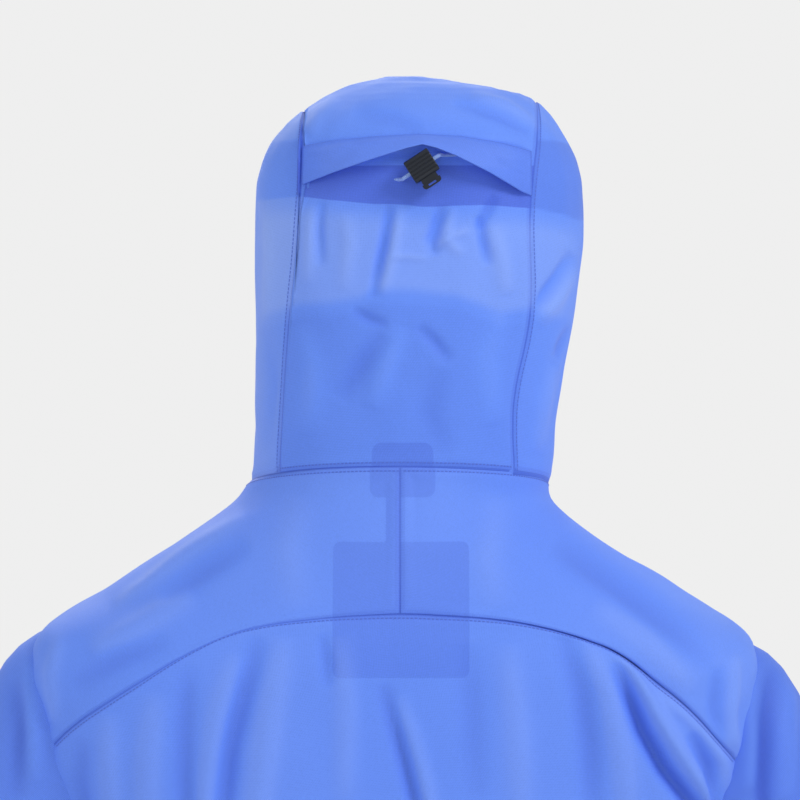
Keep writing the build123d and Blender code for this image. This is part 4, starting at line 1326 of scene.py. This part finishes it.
def make_peak():
    """Laminated peak: an arched sheet with a rolled edge and two rows of stitching."""
    low, high = (np.array(q) * 1000 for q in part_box("hood_brim"))
    mid = (low[0] + high[0]) / 2
    back, tip = high[1] - SHIFT_Y, low[1] - SHIFT_Y
    half = (high[0] - low[0]) / 2
    rows, cols = int(28 * FINE), int(96 * FINE)
    s = np.linspace(-1, 1, cols)
    x = s * half
    reach = np.sqrt(np.maximum(1 - np.abs(s) ** 2.3, 0))
    t = np.linspace(0, 1, rows)[:, None]
    y = back + (tip - back) * reach[None] * t
    z = high[2] - 118.0 + np.sqrt(118.0**2 - x**2) - 0.8 - 4.0 * t**2 * reach[None]
    p = np.stack([mid + x[None] + 0 * y, y, z + 0 * y], -1)
    n = grid_normals(p)
    n *= np.sign(n[..., 2:3])
    edge = np.minimum((1 - t) * reach[None] * abs(tip - back), 60.0)
    roll = (
        0.9 * np.exp(-((edge / 2.2) ** 2)) - 0.5 * np.exp(-(((edge - 5.5) / 1.2) ** 2))
        + 0.25 * noise(p, (20, 14, 20), 95)
    )
    p = p + n * roll[..., None]
    fields = plain_fields(edge + 4, -0.1)
    piece = cloth("hood_peak_cloth", p, M_SHELL, fields, thick=2.0, flip=grid_normals(p)[3, cols // 2, 2] < 0)
    join_peak(piece)
    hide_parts("hood_brim")
    rows_of = []
    for inset in (5.5, 9.0):
        k = np.clip(1 - inset / np.maximum(reach * abs(tip - back), 1e-3), 0, 1)
        pick = (reach * abs(tip - back) > inset + 2)
        yy = back + (tip - back) * reach * k
        zz = high[2] - 118.0 + np.sqrt(118.0**2 - x**2) - 0.8 - 4.0 * k**2 * reach
        line = np.stack([mid + x, yy, zz + 0.1], -1)[pick]
        rows_of.append((line, np.tile([0, 0, 1.0], (len(line), 1))))
    return rows_of


peak_rows = make_peak()

# ------------------------------------------------------------------ zips
def zip_tapes(name, at, turn, span, half, nodes, mouth=0.7):
    """Two coated tapes that meet at a slit, each with a rolled lip, and the teeth behind them."""
    turn = math.radians(turn)
    ax = np.array([math.cos(turn), math.sin(turn), 0])
    inward = np.array([-math.sin(turn), math.cos(turn), 0])
    origin = np.array([at[0], at[1], 0.0])
    zs = np.linspace(span[0], span[1], max(int((span[1] - span[0]) / 6 * FINE), 8))
    u = np.concatenate([[mouth, mouth, mouth + 0.25], np.linspace(mouth + 0.9, half - 0.6, 9), [half]])
    d = np.concatenate([[1.3, 0.55, 0.12], np.full(9, 0.0), [0.5]]) + 0.05
    for side, label in ((1, "left"), (-1, "right")):
        p = (
            origin + side * u[None, :, None] * ax + d[None, :, None] * inward
            + zs[:, None, None] * np.array([0, 0, 1.0])
        )
        edge = np.tile(half - u + 2.0, (len(zs), 1))
        fields = plain_fields(edge, layer=-50.0)
        g = grid_normals(p)[1, 6]
        piece = cloth(f"{name}_tape_{label}_cloth", p, M_TAPE, fields, thick=0.8, flip=bool(g @ inward > 0))
        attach(piece, "shell")
        if side > 0:
            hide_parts(*nodes[:1])
        elif len(nodes) > 1:
            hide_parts(nodes[1])
        verts, faces = [], []
        for z in np.arange(span[0] + 1 + (0.55 if side < 0 else 0), span[1] - 1, 1.7):
            base = len(verts)
            for uu in (0.2, 2.9):
                for dd in (1.35, 2.5):
                    for dz in (-0.4, 0.4):
                        taper = 0.6 if uu < 1 else 1.0
                        verts.append(
                            origin + side * uu * ax + (1.9 + (dd - 1.9) * taper) * inward
                            + np.array([0, 0, z + dz * taper])
                        )
            faces += [
                [base + q for q in f]
                for f in ((0, 1, 3, 2), (4, 6, 7, 5), (0, 4, 5, 1), (2, 3, 7, 6), (0, 2, 6, 4), (1, 5, 7, 3))
            ]
        teeth = make_mesh(f"{name}_teeth_{label}", np.array(verts), faces, M_TEETH)
        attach(teeth, "shell")
    zl = np.linspace(span[0] + 1, span[1] - 1, 60)
    rows_of = []
    for side in (1, -1):
        line = origin + side * (half - 2.4) * ax - 0.02 * inward + zl[:, None] * np.array([0, 0, 1.0])
        rows_of.append((line, np.tile(-inward, (60, 1))))
    return rows_of


def side_y(x):
    return 18.0 - 118.0 * math.sqrt(1 - (x / 225.0) ** 2)


zip_stitch = zip_tapes(
    "front_zip", (0, -100.0), 0, (18, 784), 14.4, ["front_zip_tape_left", "front_zip_tape_right"]
)
for label, side in SIDES:
    for kind, zip_x, turn, span in SIDE_ZIPS:
        at = (side * zip_x, side_y(zip_x))
        zip_stitch += zip_tapes(
            f"{kind}_zip_{label}", at, side * turn, span, SLOT_HALF, [f"{kind}_zip_{label}_tapes"]
        )


def welt(name, x, turn, span):
    """A bonded frame round a side zip's slot."""
    turn = math.radians(turn)
    ax = np.array([math.cos(turn), math.sin(turn), 0])
    outward_v = np.array([math.sin(turn), -math.cos(turn), 0])
    origin = np.array([x, side_y(abs(x)), 0.0])
    half_w, low, high, r = 10.4, span[0] - 4.0, span[1] + 4.0, 5.0
    pts = []
    for cx, cz, a0 in (
        (half_w - r, high - r, 0), (-half_w + r, high - r, 90), (-half_w + r, low + r, 180),
        (half_w - r, low + r, 270)
    ):
        for a in np.linspace(a0, a0 + 90, 9):
            pts.append((cx + r * math.cos(math.radians(a)), cz + r * math.sin(math.radians(a))))
    pts.append(pts[0])
    pts = np.array(pts)
    line = resample(np.stack([pts[:, 0], 0 * pts[:, 0], pts[:, 1]], -1), 150)
    tang = np.gradient(line, axis=0)
    tang /= np.linalg.norm(tang, axis=1, keepdims=True)
    side_v = np.stack([tang[:, 2], 0 * tang[:, 0], -tang[:, 0]], -1)
    world = origin + line[:, :1] * ax + line[:, 2:] * np.array([0, 0, 1.0]) + 0.25 * outward_v
    across = side_v[:, :1] * ax + side_v[:, 2:] * np.array([0, 0, 1.0])
    return strip(name, world, np.tile(outward_v, (150, 1)), across, 3.6, 1.0, M_TAPE, "shell", "zip_tape")


for label, side in SIDES:
    for kind, zip_x, turn, span in SIDE_ZIPS:
        welt(f"{kind}_welt_{label}", side * zip_x, side * turn, span)

# ------------------------------------------------------------------ inner pieces
def inner_sheet(name, bearings, heights, offset, material, nodes, ripple=0.6, seed=101):
    p = np.stack([on_form(np.asarray(bearings) * RAD, np.full(len(bearings), float(z))) for z in heights])
    n = outward(p)
    edge = edge_distance(p)
    p = p - n * (offset + ripple * noise(p, (30, 30, 30), seed) * smooth(0, 12, edge))[..., None]
    fields = plain_fields(edge + 1.0)
    piece = cloth(name, p, material, fields, thick=0.7, flip=not faces_out(p))
    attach(piece, "shell")
    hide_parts(*nodes)
    return p


for label, side in SIDES:
    b = np.linspace(math.degrees(math.acos(62 / 217)), math.degrees(math.acos(178 / 217)), 40) * -1
    inner_sheet(
        f"pocket_bag_{label}_cloth", b if side > 0 else 180 - b, np.linspace(186, 399, 60), 6.7, M_INNER,
        [f"pocket_bag_{label}"]
    )
label_x, label_z = np.meshgrid(np.linspace(47, -47, 44), np.linspace(593.5, 683.5, 40))
label_grid = np.stack([label_x, back_surface(label_x, label_z) - 7.0, label_z], -1)
edge = edge_distance(label_grid)
fields = plain_fields(edge + 1.0)
label_piece = cloth(
    "neck_label_cloth", label_grid, M_INNER, fields, thick=0.7, flip=not faces_out(label_grid)
)
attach(label_piece, "shell")
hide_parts("neck_label")

low, high = (np.array(q) * 1000 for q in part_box("storm_flap"))
z = np.linspace(low[2], high[2], int(150 * FINE))
x = np.linspace(low[0], high[0], 18)
y0 = low[1] - SHIFT_Y
xx, zz = np.meshgrid(x, z)
yy = y0 + 3.4 + 0.5 * noise(
    np.stack([xx, 0 * xx, zz], -1), (20, 20, 60), 103
) - 2.6 * smooth(high[0] - 7, high[0], xx)
p = np.stack([xx, yy, zz], -1)
edge = edge_distance(p)
fields = plain_fields(edge + 1.5)
storm = cloth("storm_flap_cloth", p, M_INNER, fields, thick=0.9)
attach(storm, "shell")
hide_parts("storm_flap")

low, high = (np.array(q) * 1000 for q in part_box("hang_loop"))
t = np.linspace(0, 1, 60)
loop_line = np.stack([
    low[0] + 1 + (high[0] - low[0] - 2) * t,
    high[1] - SHIFT_Y - 0.4 - (high[1] - low[1] - 1.2) * np.sin(np.pi * t) ** 0.45,
    (low[2] + high[2]) / 2 + 0 * t,
], -1)
tangent = np.gradient(loop_line, axis=0)
loop_normal = np.cross(tangent, [0, 0, 1.0])
strip(
    "hang_loop_webbing", loop_line, loop_normal, np.tile([0, 0, 1.0], (60, 1)), 7.6, 1.1, M_TAPE, "shell",
    "facing_cloth", ["hang_loop"]
)

# ------------------------------------------------------------------ cuffs
def cuff(label, side):
    rows, cols = 26, int(120 * FINE)
    e1 = np.array([0, -1.0, 0]) - (np.array([0, -1.0, 0]) @ LOWER) * LOWER
    e1 /= np.linalg.norm(e1)
    e2 = np.cross(LOWER, e1)
    theta = np.linspace(0, 2 * np.pi, cols, endpoint=False)
    along = np.concatenate([[250.0, 250.5], np.linspace(252, 277, rows - 3), [277.8]])
    ring = np.cos(theta)[:, None] * e1 + np.sin(theta)[:, None] * e2
    p = np.stack([ELBOW + d * LOWER + ring * 45.1 for d in along])
    puff = np.sin((along - 250) / 28 * np.pi)[:, None]
    gather = noise(np.stack([np.cos(theta) * 45, np.sin(theta) * 45, 0 * theta], -1), (7, 7, 7), 111)[None]
    p = p + ring[None] * (puff * (0.35 + 0.5 * gather))[..., None]
    p[..., 0] *= side
    edge = np.tile(np.minimum(along - 250, 278 - along)[:, None], (1, cols)) + 1.0
    fields = plain_fields(edge, -0.05)
    piece = cloth(f"cuff_{label}_cloth", p, M_SHELL, fields, thick=1.6, closed=True, flip=side < 0)
    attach(piece, f"forearm_{label}")
    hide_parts(f"cuff_{label}")
    rows_of = []
    for d in (254.0, 274.0):
        line = ELBOW + d * LOWER + ring * 45.75
        normal = ring.copy()
        line[:, 0] *= side
        normal[:, 0] *= side
        rows_of.append((line, normal))
    return rows_of


cuff_rows = {label: cuff(label, side) for label, side in SIDES}

# ------------------------------------------------------------------ stitching
def inset(grid, normal, distance, edge, lift=0.2):
    """A line parallel to one border of a grid, at that distance along the cloth."""
    g = {
        "low": grid, "high": grid[::-1], "left": grid.transpose(1, 0, 2),
        "right": grid.transpose(1, 0, 2)[::-1]
    }[edge]
    m = {
        "low": normal, "high": normal[::-1], "left": normal.transpose(1, 0, 2),
        "right": normal.transpose(1, 0, 2)[::-1]
    }[edge]
    s = arc_lengths(g, 0)
    line, lined = [], []
    for c in range(g.shape[1]):
        line.append([np.interp(distance, s[:, c], g[:, c, k]) for k in range(3)])
        lined.append([np.interp(distance, s[:, c], m[:, c, k]) for k in range(3)])
    line, lined = np.array(line), np.array(lined)
    lined /= np.maximum(np.linalg.norm(lined, axis=1, keepdims=True), 1e-6)
    return line + lined * lift, lined


def outside_sleeve(row):
    keep = inside_sleeve(row[0]) < -1
    return row[0][keep], row[1][keep]


shell_rows = []
shell_rows.append(outside_sleeve(inset(back_out, back_n, 2.6, "high")))
for side in (1, -1):
    out, n = yokes[side]
    shell_rows.append(inset(out, n, 3.0, "high"))
    for part in ("chest", "flank"):
        o2, m2 = fronts[side, part]
        if part == "chest":
            shell_rows.append(inset(o2, m2, 3.0, "left"))
            shell_rows.append(inset(o2, m2, 3.0, "high"))
    co, cn = collars[side]
    shell_rows += [inset(co, cn, 3.0, "high"), inset(co, cn, 3.0, "left"), inset(co, cn, 3.0, "right")]
shell_rows.append((on_form(hem_b, np.full(hem_b.shape, 25.6)) + hem_n[4] * 0.9, hem_n[4]))
shell_rows += zip_stitch
shell_thread = stitches("shell_stitching", shell_rows, M_THREAD)
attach(shell_thread, "shell")

hood_rows = [inset(centre_out, sign_c * n_c, 3.0, "low")]
for side in (1, -1):
    grid, normal = sides[side]
    hood_rows.append(inset(grid, normal, 3.2, "left"))
hood_thread = stitches("hood_stitching", hood_rows, M_THREAD)
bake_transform(hood_thread)

peak_thread = stitches("peak_stitching", peak_rows, M_THREAD)
join_peak(peak_thread)
for label in ("left", "right"):
    thread = stitches(f"cuff_{label}_stitching", cuff_rows[label], M_THREAD)
    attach(thread, f"forearm_{label}")

# ------------------------------------------------------------------ hardware that keeps its CAD shape
FINISH = {
    "cordlock": M_LOCK, "_cord": M_CORD, "_spring": M_STEEL, "_slider": M_METAL, "_pull": M_PULL,
    "cuff_tab": M_PULL, "cuff_loop_patch": M_INNER, "zip_box": M_METAL, "hem_cord": M_CORD,
}
for name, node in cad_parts.items():
    chosen = None
    for key, material in FINISH.items():
        if key in name:
            chosen = material
    if name.endswith("_cord") or name == "rear_adjuster_cord":
        chosen = M_CORD
    elif name.endswith(("_body", "_plunger")):
        chosen = M_LOCK
    elif "spring" in name:
        chosen = M_STEEL
    if chosen is not None:
        node.data.materials.clear()
        node.data.materials.append(chosen)

# ------------------------------------------------------------------ floor
floor_mesh = bpy.data.meshes.new("floor")
around = np.linspace(0, 2 * np.pi, 96, endpoint=False)
floor_mesh.from_pydata([(9 * math.cos(a), 9 * math.sin(a), -0.0005) for a in around], [], [list(range(96))])
floor = bpy.data.objects.new("floor", floor_mesh)
bpy.context.scene.collection.objects.link(floor)
floor_material = simple_material(
    "floor_paint", srgb(238, 238, 238), srgb(232, 232, 232), 0.85, 3.0, 0.0002, spec=0.0
)
tree = floor_material.node_tree
place = tree.nodes.new("ShaderNodeTexCoord").outputs["Object"]
reach = tree.nodes.new("ShaderNodeVectorMath")
reach.operation = "LENGTH"
tree.links.new(place, reach.inputs[0])
fade = tree.nodes.new("ShaderNodeMapRange")
fade.interpolation_type = "SMOOTHSTEP"
for socket, value in zip(fade.inputs, (0, 0.55, 2.0, 0, 1)):
    socket.default_value = value
tree.links.new(reach.outputs["Value"], fade.inputs[0])
glow = tree.nodes.new("ShaderNodeEmission")
glow.inputs[0].default_value = (0.862, 0.862, 0.862, 1)
either = tree.nodes.new("ShaderNodeMixShader")
tree.links.new(fade.outputs[0], either.inputs[0])
tree.links.new(tree.nodes["Principled BSDF"].outputs[0], either.inputs[1])
tree.links.new(glow.outputs[0], either.inputs[2])
tree.links.new(either.outputs[0], tree.nodes["Material Output"].inputs[0])
floor_mesh.materials.append(floor_material)
